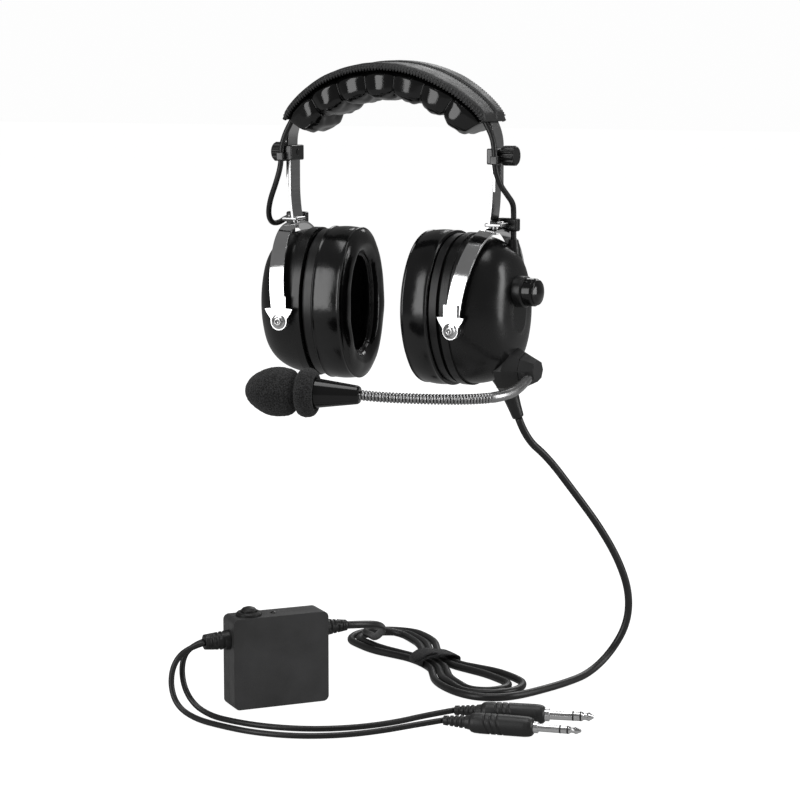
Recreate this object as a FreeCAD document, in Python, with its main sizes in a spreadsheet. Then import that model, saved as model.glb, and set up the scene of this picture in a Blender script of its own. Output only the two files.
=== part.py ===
import FreeCAD, Part
import math
import os
import re
import Sketcher

# Aviation headset, millimetres. +X is the wearer's left, -Y is forward, +Z is up.
# The origin is the underside of the head pad at the crown, where a head carries it.

V = FreeCAD.Vector
Z_AXIS = V(0, 0, 1)
doc = FreeCAD.newDocument("aviation_headset")
sheet = doc.addObject("Spreadsheet::Sheet", "sizes")

SIZES = [
    ("half_span", 82.5, "head axis to the middle of the spring's straight legs"),
    ("spring_crown", 22, "height of the spring's middle at the crown"),
    ("leg_top", -32, "height where the spring's legs become straight"),
    ("crown_radius", 105, "radius of the spring over the crown"),
    ("spring_end", -63, "height of the spring's lower ends"),
    ("strip_width", 14, "width of the spring and the arms"),
    ("strip_thickness", 1.6, "thickness of the spring and the arms"),
    ("pad_thickness", 21, "head pad, from the spring inwards"),
    ("cover_thickness", 3.2, "padded cover over the spring"),
    ("cover_turn", 60, "angle from the crown's vertical where the cover ends"),
    ("cover_width", 48, "width of pad and cover at the crown"),
    ("cover_end_width", 31, "width of pad and cover at their ends"),
    ("side_offset", 80, "head axis to each side's hub"),
    ("toe", 5, "angle by which each cup's front edge turns inwards"),
    ("slide_travel", 20, "how far each arm extends"),
    ("stud_height", -38, "height of the clamp's stud"),
    ("stud_radius", 2, "clamp stud"),
    ("clamp_knob_radius", 7, "clamp knob"),
    ("clamp_knob_length", 11, "clamp knob"),
    ("hub_height", -87.5, "underside of the arm's foot"),
    ("rivet_radius", 2.5, "swivel rivet of each yoke"),
    ("moving_gap", 0.35, "clearance between pieces that move"),
    ("running_gap", 0.05, "radial clearance of a turning pin"),
    ("cup_height", -146, "height of the cups' middle"),
    ("yoke_half_width", 45.25, "yoke strip's middle, front or rear of the cup"),
    ("yoke_crown", -89.25, "height of the yoke strip's middle at the top"),
    ("yoke_crown_radius", 38, "radius of the yoke over the cup"),
    ("yoke_strip_width", 11, "yoke strip"),
    ("yoke_thickness", 1.5, "yoke strip and its brackets"),
    ("yoke_lean", 6.9, "the yoke leans inwards from its hub"),
    ("pivot_inset", 8, "tilt axis, inwards of the hub"),
    ("pivot_height", -157, "height of the tilt axis"),
    ("pivot_radius", 2.4, "tilt pins"),
    ("boss_radius", 6, "bosses that carry the tilt pins"),
    ("seal_half_width", 42, "ear seal"),
    ("seal_half_height", 55, "ear seal"),
    ("seal_depth", 26, "ear seal"),
    ("opening_half_width", 20, "opening of the ear seal"),
    ("opening_half_height", 33, "opening of the ear seal"),
    ("seal_back", -30, "plane where the seal meets the baffle, from the hub"),
    ("baffle_half_width", 40, "baffle"),
    ("baffle_half_height", 53, "baffle"),
    ("baffle_thickness", 5.7, "baffle"),
    ("groove_depth", 2.5, "groove between baffle and shell"),
    ("shell_wall", 2.6, "cup shell"),
    ("driver_radius", 20, "speaker"),
    ("driver_depth", 9, "speaker"),
    ("cable_radius", 2, "cable between the cups, and the leads of the plugs"),
    ("cord_radius", 2.75, "main cord"),
    ("volume_height", -132, "height of the volume control"),
    ("volume_base_radius", 11, "volume control's base"),
    ("volume_knob_radius", 9.8, "volume knob"),
    ("volume_knob_length", 8.2, "volume knob"),
    ("boom_height", -187, "height of the boom's swivel"),
    ("boom_back", 2, "boom's swivel, rearward of the hub"),
    ("boom_mount_radius", 17.5, "foot of the boom's mount"),
    ("boom_waist_radius", 12.5, "where the boom's socket turns on its mount"),
    ("boom_tip_radius", 7.6, "end of the boom's socket"),
    ("boom_socket_length", 9.7, "boom's socket"),
    ("gooseneck_radius", 3.7, "boom"),
    ("floor_drop", 417, "origin to the surface that the control box stands on"),
    ("layout_turn", 27, "turn of the control box and cords about the vertical"),
    ("box_yaw", 23.7, "control box, further turn"),
    ("box_width", 70, "control box"),
    ("box_depth", 22, "control box"),
    ("box_tall", 64, "control box"),
    ("box_wall", 2, "control box"),
    ("box_edge", 4, "radius of the control box's corners"),
    ("button_radius", 5.6, "push button"),
    ("button_travel", 1.3, "push button"),
    ("gland_length", 18, "control box's cord glands"),
    ("hank_tall", 14, "hank of cord"),
    ("grip_radius", 7, "plug grips"),
    ("grip_length", 62, "plug grips"),
]
for row, (name, value, note) in enumerate(SIZES, 1):
    sheet.set(f"A{row}", name)
    sheet.set(f"B{row}", str(value))
    sheet.set(f"C{row}", note)
    sheet.setAlias(f"B{row}", name)
doc.recompute()


def size(name):
    return float(sheet.get(name))


def cells(formula):
    """A formula that names cells of the sheet, as FreeCAD writes it."""
    return re.sub(r"[a-z_]{3,}", r"sizes.\g<0>", str(formula))


def bind(obj, **formulas):
    for prop, formula in formulas.items():
        obj.setExpression(prop, cells(formula))
    return obj


def turned(axis):
    """The rotation that takes +Z to an axis."""
    return FreeCAD.Rotation(Z_AXIS, V(*axis))


def at(obj, place=(0, 0, 0), axis=(0, 0, 1)):
    obj.Placement = FreeCAD.Placement(V(*place), turned(axis))
    return obj


def block(low, high):
    """A box from its lowest to its highest corner, each corner three formulas."""
    obj = doc.addObject("Part::Box", "block")
    for prop, a, b in zip(("Length", "Width", "Height"), low, high):
        obj.setExpression(prop, cells(f"({b}) - ({a})"))
    for axis, a in zip("xyz", low):
        obj.setExpression(f"Placement.Base.{axis}", cells(a))
    return obj


def cylinder(radius, height, place=(0, 0, 0), axis=(0, 0, 1)):
    obj = doc.addObject("Part::Cylinder", "cylinder")
    return at(bind(obj, Radius=radius, Height=height), place, axis)


def cone(radius1, radius2, height, place=(0, 0, 0), axis=(0, 0, 1)):
    obj = doc.addObject("Part::Cone", "cone")
    return at(bind(obj, Radius1=radius1, Radius2=radius2, Height=height), place, axis)


def feature(shape):
    obj = doc.addObject("Part::Feature", "shape")
    obj.Shape = shape
    return obj


def cut(base, *tools):
    for tool in tools:
        obj = doc.addObject("Part::Cut", "cut")
        obj.Base = base
        obj.Tool = tool
        base = obj
    return base


def common(base, tool):
    obj = doc.addObject("Part::Common", "common")
    obj.Base = base
    obj.Tool = tool
    return obj


def fuse(*pieces):
    obj = doc.addObject("Part::MultiFuse", "fuse")
    obj.Shapes = list(pieces)
    return obj


def group(*pieces):
    """Separate solids that share one node."""
    obj = doc.addObject("Part::Compound", "group")
    obj.Links = list(pieces)
    return obj


def rounded(base, radius, wanted=lambda edge: True):
    """Fillets the edges of a piece that a test picks."""
    doc.recompute()
    obj = doc.addObject("Part::Fillet", "rounded")
    obj.Base = base
    picked = [i for i, edge in enumerate(base.Shape.Edges, 1) if wanted(edge)]
    obj.Edges = [(i, radius, radius) for i in picked]
    return obj


def sketch_on(body, role, corners, holes=()):
    """A closed outline through corners, each two formulas, and round holes, each three."""
    sketch = body.newObject("Sketcher::SketchObject", "outline")
    plane = [f for f in body.Origin.OriginFeatures if f.Role == role][0]
    sketch.AttachmentSupport = (plane, "")
    sketch.MapMode = "FlatFace"
    values = {name: value for name, value, _ in SIZES}
    points = [[float(value_of(f, values)) for f in corner] for corner in corners]
    count = len(points)
    for i, start in enumerate(points):
        end = points[(i + 1) % count]
        sketch.addGeometry(Part.LineSegment(V(*start, 0), V(*end, 0)), False)
    for i in range(count):
        sketch.addConstraint(Sketcher.Constraint("Coincident", i, 2, (i + 1) % count, 1))
    for i, corner in enumerate(corners):
        pin_point(sketch, i, 1, corner, points[i])
    for formula_x, formula_y, radius in holes:
        x, y, r = [float(value_of(f, values)) for f in (formula_x, formula_y, radius)]
        index = sketch.addGeometry(Part.Circle(V(x, y, 0), Z_AXIS, r), False)
        pin_point(sketch, index, 3, (formula_x, formula_y), (x, y))
        limit = sketch.addConstraint(Sketcher.Constraint("Radius", index, r))
        sketch.setExpression(f"Constraints[{limit}]", cells(radius))
    return sketch


def value_of(formula, values):
    """The value of a formula, by way of a spare cell of the sheet."""
    sheet.set("E1", "=" + re.sub(r"[a-z_]{3,}", lambda m: str(values[m.group(0)]), str(formula)))
    sheet.recompute()
    return sheet.get("E1")


def pin_point(sketch, index, end, formulas, values):
    """Holds a point of a sketch at a distance from the origin along both axes."""
    for kind, formula, value in zip(("DistanceX", "DistanceY"), formulas, values):
        limit = sketch.addConstraint(Sketcher.Constraint(kind, -1, 1, index, end, value))
        sketch.setExpression(f"Constraints[{limit}]", cells(formula))


def plate(role, corners, thickness, holes=()):
    """A PartDesign body: an outline padded to a thickness."""
    body = doc.addObject("PartDesign::Body", "plate")
    pad = body.newObject("PartDesign::Pad", "pad")
    pad.Profile = sketch_on(body, role, corners, holes)
    bind(pad, Length=thickness)
    return body


def turning(corners):
    """A PartDesign body: an outline of radius and height turned about the Z axis."""
    body = doc.addObject("PartDesign::Body", "turned")
    sketch = sketch_on(body, "XZ_Plane", corners)
    revolution = body.newObject("PartDesign::Revolution", "revolution")
    revolution.Profile = sketch
    revolution.ReferenceAxis = (sketch, ["V_Axis"])
    revolution.Angle = 360
    return body


def fluted(body, reach, height, flute, count):
    """Cuts flutes along a turned body, each a round groove, and repeats them round it."""
    sketch = body.newObject("Sketcher::SketchObject", "flute")
    plane = [f for f in body.Origin.OriginFeatures if f.Role == "XY_Plane"][0]
    sketch.AttachmentSupport = (plane, "")
    sketch.MapMode = "FlatFace"
    sketch.addGeometry(Part.Circle(V(reach, 0, 0), Z_AXIS, flute), False)
    doc.recompute()
    before = body.Shape.Volume
    pocket = body.newObject("PartDesign::Pocket", "flute_cut")
    pocket.Profile = sketch
    pocket.Length = height
    pocket.Reversed = True
    doc.recompute()
    if pocket.Shape.Volume >= before:
        raise RuntimeError("a flute cuts nothing")
    pattern = body.newObject("PartDesign::PolarPattern", "flutes")
    pattern.Originals = [pocket]
    pattern.Axis = (sketch, ["N_Axis"])
    pattern.Angle = 360
    pattern.Occurrences = count
    body.Tip = pattern
    return body


# ---------------------------------------------------------------- curves

def arch_centres(span, rise, crown):
    """Shoulder radius, centres and joint direction of a crown arc that runs into two legs."""
    shoulder = (crown**2 - span**2 - (crown - rise) ** 2) / (2 * (crown - span))
    crown_centre = V(0, 0, rise - crown)
    shoulder_centre = V(span - shoulder, 0, 0)
    way = shoulder_centre - crown_centre
    way.normalize()
    if crown < shoulder:
        way = way * -1
    return shoulder, crown_centre, shoulder_centre, math.atan2(way.x, way.z)


def arch_edges(span, rise, crown, offset, end_turn=90.0, leg=0.0):
    """One offset of the arch, from its -X end to its +X end, as edges."""
    shoulder, crown_centre, shoulder_centre, joint = arch_centres(span, rise, crown)

    def on(centre, radius, turn, side):
        return V(side * (centre.x + radius * math.sin(turn)), 0, centre.z + radius * math.cos(turn))

    end = math.radians(end_turn)
    r_crown, r_shoulder = crown + offset, shoulder + offset
    edges = []
    for side in (-1, 1):
        joint_point = on(crown_centre, r_crown, joint, side)
        middle = on(shoulder_centre, r_shoulder, (joint + end) / 2, side)
        last = on(shoulder_centre, r_shoulder, end, side)
        edges.append(Part.Arc(joint_point, middle, last).toShape())
        if leg:
            edges.append(Part.LineSegment(last, last - V(0, 0, leg)).toShape())
        if side < 0:
            top = crown_centre + V(0, 0, r_crown)
            far = on(crown_centre, r_crown, joint, 1)
            edges.append(Part.Arc(joint_point, top, far).toShape())
    return edges


def arch_ends(edges):
    """The arch's two lowest points, -X first."""
    points = [v.Point for e in edges for v in e.Vertexes]
    return [min(points, key=lambda p: p.z - side * p.x * 0.01 + (1e6 if side * p.x < 0 else 0))
            for side in (-1, 1)]


def arch_solid(span, rise, crown, low, high, width, end_turn=90.0, leg=0.0):
    """An arched strip between two offsets of its middle line, centred on Y."""
    inner = arch_edges(span, rise, crown, low, end_turn, leg)
    outer = arch_edges(span, rise, crown, high, end_turn, leg)
    caps = [Part.LineSegment(a, b).toShape() for a, b in zip(arch_ends(inner), arch_ends(outer))]
    wire = Part.Wire(Part.__sortEdges__(inner + outer + caps))
    solid = Part.Face(wire).extrude(V(0, width, 0))
    solid.translate(V(0, -width / 2, 0))
    return solid


def oval(half_width, half_height, x):
    """An oval of four tangent arcs in a plane of constant x, about the cup's middle."""
    end = 0.86 * half_width
    side = (half_width**2 + (half_height - end) ** 2 - end**2) / (2 * (half_width - end))
    end_z = half_height - end
    side_y = side - half_width
    joint = math.atan2(side_y, end_z)
    middle = size("cup_height")

    def point(y, z):
        return V(x, y, middle + z)

    jy = end * math.sin(joint)
    jz = end_z + end * math.cos(joint)
    edges = []
    for up in (1, -1):
        edges.append(Part.Arc(point(-jy, up * jz), point(0, up * half_height), point(jy, up * jz)))
    for out in (1, -1):
        edges.append(Part.Arc(point(out * jy, jz), point(out * half_width, 0), point(out * jy, -jz)))
    return Part.Wire(Part.__sortEdges__([e.toShape() for e in edges]))


def oval_slab(half_width, half_height, x, depth):
    return Part.Face(oval(half_width, half_height, x)).extrude(V(depth, 0, 0))


def tube(points, radius, label):
    """A round tube along straight runs joined by tangent arcs, with its bends printed."""
    pts = [V(*p) for p in points]
    runs = [(b - a).Length for a, b in zip(pts, pts[1:])]
    edges, start, length, bends = [], pts[0], 0.0, []
    for i in range(1, len(pts) - 1):
        back = (pts[i - 1] - pts[i]).normalize()
        ahead = (pts[i + 1] - pts[i]).normalize()
        turn = math.pi - back.getAngle(ahead)
        reach = 0.45 * min(runs[i - 1], runs[i])
        bend = reach / math.tan(turn / 2)
        a = pts[i] + back * reach
        b = pts[i] + ahead * reach
        to_centre = (back + ahead).normalize()
        middle = pts[i] + to_centre * (bend / math.cos(turn / 2) - bend)
        edges.append(Part.LineSegment(start, a).toShape())
        edges.append(Part.Arc(a, middle, b).toShape())
        length += (a - start).Length + bend * turn
        bends.append(round(bend / (2 * radius), 1))
        start = b
    edges.append(Part.LineSegment(start, pts[-1]).toShape())
    length += (pts[-1] - start).Length
    path = Part.Wire(edges)
    ring = Part.Wire(Part.Circle(pts[0], (pts[1] - pts[0]).normalize(), radius).toShape())
    solid = path.makePipeShell([ring], True, False)
    ratio = solid.Volume / (math.pi * radius**2 * length)
    print(f"{label}: length {length:.0f}, bends in diameters {bends}, volume ratio {ratio:.4f}")
    return feature(solid)


# ---------------------------------------------------------------- places

def side_place(side, toed):
    """The frame of one side: x outwards from the hub, z up, origin at the head pad's height."""
    turn = 0 if side == "left" else 180
    if toed:
        turn += -size("toe") if side == "left" else size("toe")
    shift = size("side_offset") * (1 if side == "left" else -1)
    return FreeCAD.Placement(V(shift, 0, 0), FreeCAD.Rotation(Z_AXIS, turn))


def front_of(side):
    """The sign of the local y that faces forward."""
    return -1 if side == "left" else 1


LAYOUT = FreeCAD.Placement(V(0, 0, -size("floor_drop")), FreeCAD.Rotation(Z_AXIS, size("layout_turn")))
BOX_CORNER = (-109, -104, 0)
BOX = LAYOUT.multiply(FreeCAD.Placement(V(*BOX_CORNER), FreeCAD.Rotation(Z_AXIS, size("box_yaw"))))

NODES = {}


def node(name, obj, place=None):
    """Names a sub-part and puts it in its place."""
    obj.Label = name
    if place is not None:
        obj.Placement = place.multiply(obj.Placement)
    NODES[name] = obj
    return obj


# ---------------------------------------------------------------- headband

# The cable that crosses under the cover: how far forward it lies, and how far under the spring's middle.
CABLE_FRONT = 9.6
CABLE_DEPTH = -1.2


def arch_sizes():
    return (size("half_span"), size("spring_crown") - size("leg_top"), size("crown_radius"))


def slot_through(width, length, top, x, depth):
    """A slot with round ends, through along X, hanging from its top height."""
    half = width / 2
    middle = Part.makeBox(depth, width, length - width, V(x, -half, top - length + half))
    ends = [Part.makeCylinder(half, depth, V(x, 0, z), V(1, 0, 0)) for z in (top - half, top - length + half)]
    return middle.fuse(ends)


def headband():
    span, rise, crown = arch_sizes()
    half = size("strip_thickness") / 2
    lift = V(0, 0, size("leg_top"))
    spring = arch_solid(span, rise, crown, -half, half, size("strip_width"),
                        leg=size("leg_top") - size("spring_end"))
    spring.translate(lift)
    play = 0.6
    slot_width = 2 * size("stud_radius") + play
    slot_top = size("stud_height") + slot_width / 2
    for side in (-1, 1):
        tool = slot_through(slot_width, size("slide_travel") + slot_width, slot_top, side * span - 3, 6)
        spring = spring.cut(tool)
    node("headband_spring", feature(spring))

    wide, narrow = size("cover_width") / 2, size("cover_end_width") / 2
    shoulder_x, end_x = 46, size("half_span") + 6
    outline = [(-end_x, -narrow), (-shoulder_x, -wide), (shoulder_x, -wide), (end_x, -narrow),
               (end_x, narrow), (shoulder_x, wide), (-shoulder_x, wide), (-end_x, narrow)]
    plan = Part.makePolygon([V(x, y, -90) for x, y in outline + outline[:1]])
    prism = Part.Face(plan).extrude(V(0, 0, 180))
    skin = 1.0
    turn = size("cover_turn")
    pad = arch_solid(span, rise, crown, -size("pad_thickness") - skin, -skin, 60, turn)
    groove_width = 2 * size("cable_radius") + 0.6
    groove = arch_solid(span, rise, crown, -3.5, 0, groove_width, turn)
    groove.translate(V(0, -CABLE_FRONT, 0))
    pad.translate(lift)
    groove.translate(lift)
    node("headband_pad", feature(pad.common(prism).cut(groove)))
    cover = arch_solid(span, rise, crown, skin, skin + size("cover_thickness"), 60, turn + 2)
    cover.translate(lift)
    node("headband_cover", feature(cover.common(prism)))

    path = Part.Wire(Part.__sortEdges__(arch_edges(span, rise, crown, CABLE_DEPTH, turn)))
    path.translate(lift + V(0, -CABLE_FRONT, 0))
    start = cable_end(-1)
    slope = math.radians(turn)
    ring = Part.Circle(start, V(math.cos(slope), 0, math.sin(slope)), size("cable_radius"))
    node("crossover_cable", feature(path.makePipeShell([Part.Wire(ring.toShape())], True, False)))


def cable_end(side):
    """Where the cable leaves the cover on one side, in the row's frame."""
    span, rise, crown = arch_sizes()
    shoulder, _, centre, _ = arch_centres(span, rise, crown)
    turn = math.radians(size("cover_turn"))
    reach = shoulder + CABLE_DEPTH
    x = centre.x + reach * math.sin(turn)
    return V(side * x, -CABLE_FRONT, size("leg_top") + reach * math.cos(turn))


# ---------------------------------------------------------------- arms and clamps

ARM_MIDDLE = 0.55
ARM_BEND_START = -61
ARM_BEND_RADIUS = 144
ARM_FOOT = -86

# The cable's clip, outwards and forward of the hub.
CLIP = (5, 11.7)

# The cable from the cover to the yoke, each point outwards, forward and up from the hub.
LOOPS = {
    "left": [(2.6, 10, -25), (5, 11.7, -36), (5, 11.7, -47), (8, 9, -58),
             (10, 0, -66), (10, -8.5, -71.5), (9.06, -11.75, -78), (9.06, -11.75, -84)],
    "right": [(2.6, 10, -25), (5, 11.7, -36), (5, 11.7, -47), (9, 12, -60), (16, 9, -73),
              (20.5, 4, -84), (21.5, -3, -90.5), (19, -9.5, -90.5), (14.5, -11.6, -87), (11.8, -11.5, -86.2)],
}


def arm_strip():
    """The arm's strip: straight where it slides on the spring, then curving in to its foot."""
    half = size("strip_thickness") / 2
    top = -33.5
    turn = (ARM_BEND_START - ARM_FOOT) / ARM_BEND_RADIUS
    centre = V(ARM_MIDDLE - ARM_BEND_RADIUS, 0, ARM_BEND_START)
    edges, ends = [], []
    for offset in (-half, half):
        radius = ARM_BEND_RADIUS + offset
        points = [centre + V(radius * math.cos(t), 0, -radius * math.sin(t)) for t in (0, turn / 2, turn)]
        high = V(ARM_MIDDLE + offset, 0, top)
        edges.append(Part.LineSegment(high, points[0]).toShape())
        edges.append(Part.Arc(*points).toShape())
        ends.append((high, points[2]))
    for a, b in zip(*ends):
        edges.append(Part.LineSegment(a, b).toShape())
    width = size("strip_width")
    solid = Part.Face(Part.Wire(Part.__sortEdges__(edges))).extrude(V(0, width, 0))
    solid.translate(V(0, -width / 2, 0))
    return feature(solid)


def arm(side):
    """The arm: its strip, the flat foot that it stands on, and the rivet that the yoke swivels on."""
    foot_thickness = 2.6
    foot = rounded(block((-5, -7, "hub_height"), (8, 7, f"hub_height + {foot_thickness}")), 1.1)
    rivet_reach = 5.6
    rivet = cylinder("rivet_radius", rivet_reach + 1.5, (0, 0, size("hub_height") - rivet_reach))
    stud_hole = cylinder("stud_radius + running_gap", 20, (-10, 0, size("stud_height")), (1, 0, 0))
    node(f"{side}_arm", cut(fuse(arm_strip(), foot, rivet), stud_hole), side_place(side, False))


def clamp(side):
    """A bracket round the spring and the arm, its cable clip, and the knob that grips them."""
    front = front_of(side)
    shell = rounded(block((-2.4, -9.5, -44), (5.2, 9.5, -33)), 1)
    mouth = block((-1.7, "-strip_width / 2 - moving_gap", -50), (3.75, "strip_width / 2 + moving_gap", -20))
    low, high = sorted((front * 9.3, front * 14.2))
    clip = rounded(block((2.2, low, -44), (7.8, high, -38)), 0.8)
    clip_hole = cylinder("cable_radius + running_gap", 20, (CLIP[0], front * CLIP[1], -50))
    stud_hole = cylinder("stud_radius + running_gap", 20, (-10, 0, size("stud_height")), (1, 0, 0))
    place = side_place(side, False)
    node(f"{side}_clamp_bracket", cut(fuse(shell, clip), mouth, clip_hole, stud_hole), place)

    grip = "clamp_knob_radius"
    start, length = 8.3, "clamp_knob_length"
    knob = turning([
        (0, 0), ("stud_radius", 0), ("stud_radius", 8.1), (5.6, 8.1), (5.6, start + 1),
        (f"{grip} - 0.5", start + 1), (grip, start + 2), (grip, f"{length} + {start} - 1"),
        (f"{grip} - 1", f"{length} + {start}"), (0, f"{length} + {start}"),
    ])
    # The grooves start at the stud's end, and are shallow enough to leave the washer whole.
    fluted(knob, size("clamp_knob_radius") + 0.8, 40, 1.6, 11)
    knob.Placement = FreeCAD.Placement(V(-2.7, 0, size("stud_height")), turned((1, 0, 0)))
    node(f"{side}_clamp_knob", knob, place)




def cable_loop(side):
    out = 1 if side == "left" else -1
    slope = math.radians(size("cover_turn"))
    face_gap = 0.4
    start = cable_end(out) + V(out * math.cos(slope), 0, -math.sin(slope)) * face_gap
    hub = size("side_offset")
    points = [tuple(start)]
    for x, forward, z in LOOPS[side]:
        points.append((out * (hub + x), -forward, z))
    node(f"{side}_cable_loop", tube(points, size("cable_radius"), f"{side}_cable_loop"))


# ---------------------------------------------------------------- yokes

def yoke(side):
    place = side_place(side, True)
    half = size("yoke_thickness") / 2
    middle = size("cup_height")
    rise = size("yoke_crown") - middle
    width = size("yoke_strip_width")
    strip = arch_solid(size("yoke_half_width"), rise, size("yoke_crown_radius"), -half, half, width, leg=5)
    strip.rotate(V(0, 0, 0), Z_AXIS, 90)
    strip.translate(V(0, 0, middle))
    strip.rotate(V(0, 0, size("yoke_crown")), V(0, 1, 0), size("yoke_lean"))
    hole = cylinder("rivet_radius + running_gap", 20, (0, 0, size("yoke_crown") - 10))
    node(f"{side}_yoke", cut(feature(strip), hole), place)

    # A strap with a pointed wing on each side, round at its foot about the tilt pin.
    wing = [(5.5, 18), (5.5, 9.6), (10.6, 9.2), (9.4, 6.4), (6.2, 2)]
    foot_radius = 6.2
    foot = [(foot_radius * math.cos(math.radians(a)), -foot_radius * math.sin(math.radians(a)))
            for a in range(0, 181, 15)]
    outline = wing + foot + [(-x, z) for x, z in wing[::-1]]
    corners = [(f"{x:.3f} - pivot_inset", f"{z:.3f} + pivot_height") for x, z in outline]
    pair = []
    outer = size("yoke_half_width") + half + 0.02
    for facing in (-1, 1):
        bracket = plate("XZ_Plane", corners, "yoke_thickness",
                        [("-pivot_inset", "pivot_height", "pivot_radius + running_gap")])
        shift = outer + size("yoke_thickness") if facing > 0 else -outer
        bracket.Placement = FreeCAD.Placement(V(0, shift, 0), FreeCAD.Rotation())
        pair.append(bracket)
    node(f"{side}_pivot_brackets", group(*pair), place)

    rear = -front_of(side)
    low, high = sorted((rear * 9.4, rear * 15.6))
    grommet = rounded(block((-4, low, -91.2), (12, high, -82)), 1.4)
    room = "cable_radius + 2.5 * moving_gap"
    if side == "left":
        entry = cylinder(room, 9, (8, rear * 12.5, -84.4))
    else:
        entry = cylinder(room, 9, (8.6, rear * 12.5, -86), (1, 0, 0))
    node(f"{side}_cable_grommet", cut(grommet, entry), place)
    tail = cylinder("cable_radius", 5.8, (8, rear * 12.5, -97))
    node(f"{side}_cable_tail", tail, place)


# ---------------------------------------------------------------- cups

def dome(shrink):
    """The cup's outer form, or its hollow when it is shrunk by the wall."""
    sections = [(40, 53, -17), (39.2, 52, -8), (36.5, 48.6, 3), (30.5, 42, 12), (20.5, 30, 18), (9, 15, 20.4)]
    wires = [oval(w - shrink, h - shrink, x - shrink * 0.9 * (x > 0)) for w, h, x in sections]
    return Part.makeLoft(wires, True, False)


def cup(side):
    place = side_place(side, True)
    back = size("seal_back")
    lip_start = back + size("baffle_thickness") + size("groove_depth") + 1
    lip = oval_slab(41, 54, lip_start, -17 - lip_start + 2)
    wall = size("shell_wall")
    hollow = dome(wall).fuse(oval_slab(40 - wall, 53 - wall, lip_start - 1, -17 - lip_start + 2))
    node(f"{side}_shell", feature(dome(0).fuse(lip).cut(hollow).removeSplitter()), place)

    gap = 0.2
    depth = size("seal_depth")
    seal = oval_slab(size("seal_half_width"), size("seal_half_height"), back - depth, depth)
    hole = oval_slab(size("opening_half_width"), size("opening_half_height"), back - 40, 50)
    node(f"{side}_ear_seal", feature(seal.cut(hole)), place)
    liner = oval_slab(size("opening_half_width") - 0.5, size("opening_half_height") - 0.5, back - 4, 4)
    node(f"{side}_ear_liner", feature(liner), place)

    plate_x = back + gap
    rim = oval_slab(size("baffle_half_width"), size("baffle_half_height"), plate_x, size("baffle_thickness"))
    neck = oval_slab(size("baffle_half_width") - 3, size("baffle_half_height") - 3,
                     plate_x + size("baffle_thickness"), size("groove_depth"))
    sound = Part.makeCylinder(15, 60, V(back - 20, 0, size("cup_height")), V(1, 0, 0))
    node(f"{side}_baffle", feature(rim.fuse(neck).cut(sound)), place)
    driver_x = plate_x + size("baffle_thickness") + size("groove_depth") + gap
    driver = cylinder("driver_radius", "driver_depth", (driver_x, 0, size("cup_height")), (1, 0, 0))
    node(f"{side}_driver", driver, place)

    pins = []
    pin_root, boss_length, pin_length = 36.5, 7.2, 12
    for facing in (-1, 1):
        root = (-size("pivot_inset"), facing * pin_root, size("pivot_height"))
        boss = cylinder("boss_radius", boss_length, root, (0, facing, 0))
        pin = cylinder("pivot_radius", pin_length, root, (0, facing, 0))
        pins.append(fuse(boss, pin))
    node(f"{side}_pivot_pins", group(*pins), place)

    rear = -front_of(side)
    gland = fuse(cylinder(5, 7, (8, rear * 12.5, -111)), cone(5, 3.4, 7, (8, rear * 12.5, -104)))
    node(f"{side}_cable_gland", gland, place)


# ---------------------------------------------------------------- controls and boom on the left cup

def volume():
    place = side_place("left", True)
    stem = 3
    height = size("volume_height")
    base = turning([(f"{stem} + running_gap", 0), ("volume_base_radius", 0), ("volume_base_radius", 11),
                    ("volume_base_radius - 1", 12), (f"{stem} + running_gap", 12)])
    base.Placement = FreeCAD.Placement(V(14.5, 0, height), turned((1, 0, 0)))
    node("volume_base", base, place)
    rim, length = "volume_knob_radius", "volume_knob_length"
    knob = turning([(0, -5), (stem, -5), (stem, 0.3), (rim, 0.3), (rim, f"{length} - 2"),
                    (f"{rim} - 1.2", f"{length} - 0.6"), (f"{rim} - 4.5", length), (0, length)])
    knob.Placement = FreeCAD.Placement(V(26.5, 0, height), turned((1, 0, 0)))
    node("volume_knob", knob, place)


def facets(sections):
    """An eight-sided block about the boom's swivel axis, through radii at places along it."""
    y, z = size("boom_back"), size("boom_height")
    rings = []
    for radius, x in sections:
        corners = [V(x, y + radius * math.cos(math.radians(a)), z + radius * math.sin(math.radians(a)))
                   for a in range(0, 405, 45)]
        rings.append(Part.makePolygon(corners))
    return feature(Part.makeLoft(rings, True, True))


def boom_swivel():
    """A faceted mount on the shell, and the faceted socket that swings on it with the boom."""
    place = side_place("left", True)
    y, z = size("boom_back"), size("boom_height")
    stem = 4
    mount_face = 24
    bore = cylinder(f"{stem} + running_gap", 30, (12, y, z), (1, 0, 0))
    foot, waist = size("boom_mount_radius"), size("boom_waist_radius")
    mount = facets([(foot, 8), (foot, 14), (waist, mount_face)])
    node("boom_mount", cut(mount, bore), place)
    face = mount_face + size("moving_gap")
    socket = facets([(waist - 0.3, face), (size("boom_tip_radius"), face + size("boom_socket_length"))])
    axle = cylinder(stem, 8.5, (16.5, y, z), (1, 0, 0))
    node("boom_socket", fuse(socket, axle), place)


# The boom's middle line, from its socket round the front of the cup to the mouth.
BOOM = [(109, -7, -191.5), (109, -22, -198), (104, -42, -201), (92, -62, -201), (74, -79, -200),
        (53, -91, -199), (36, -98.5, -198), (26.8, -101.3, -197.1)]
MIC_AXIS = (-0.969, -0.245, 0.013)


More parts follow.
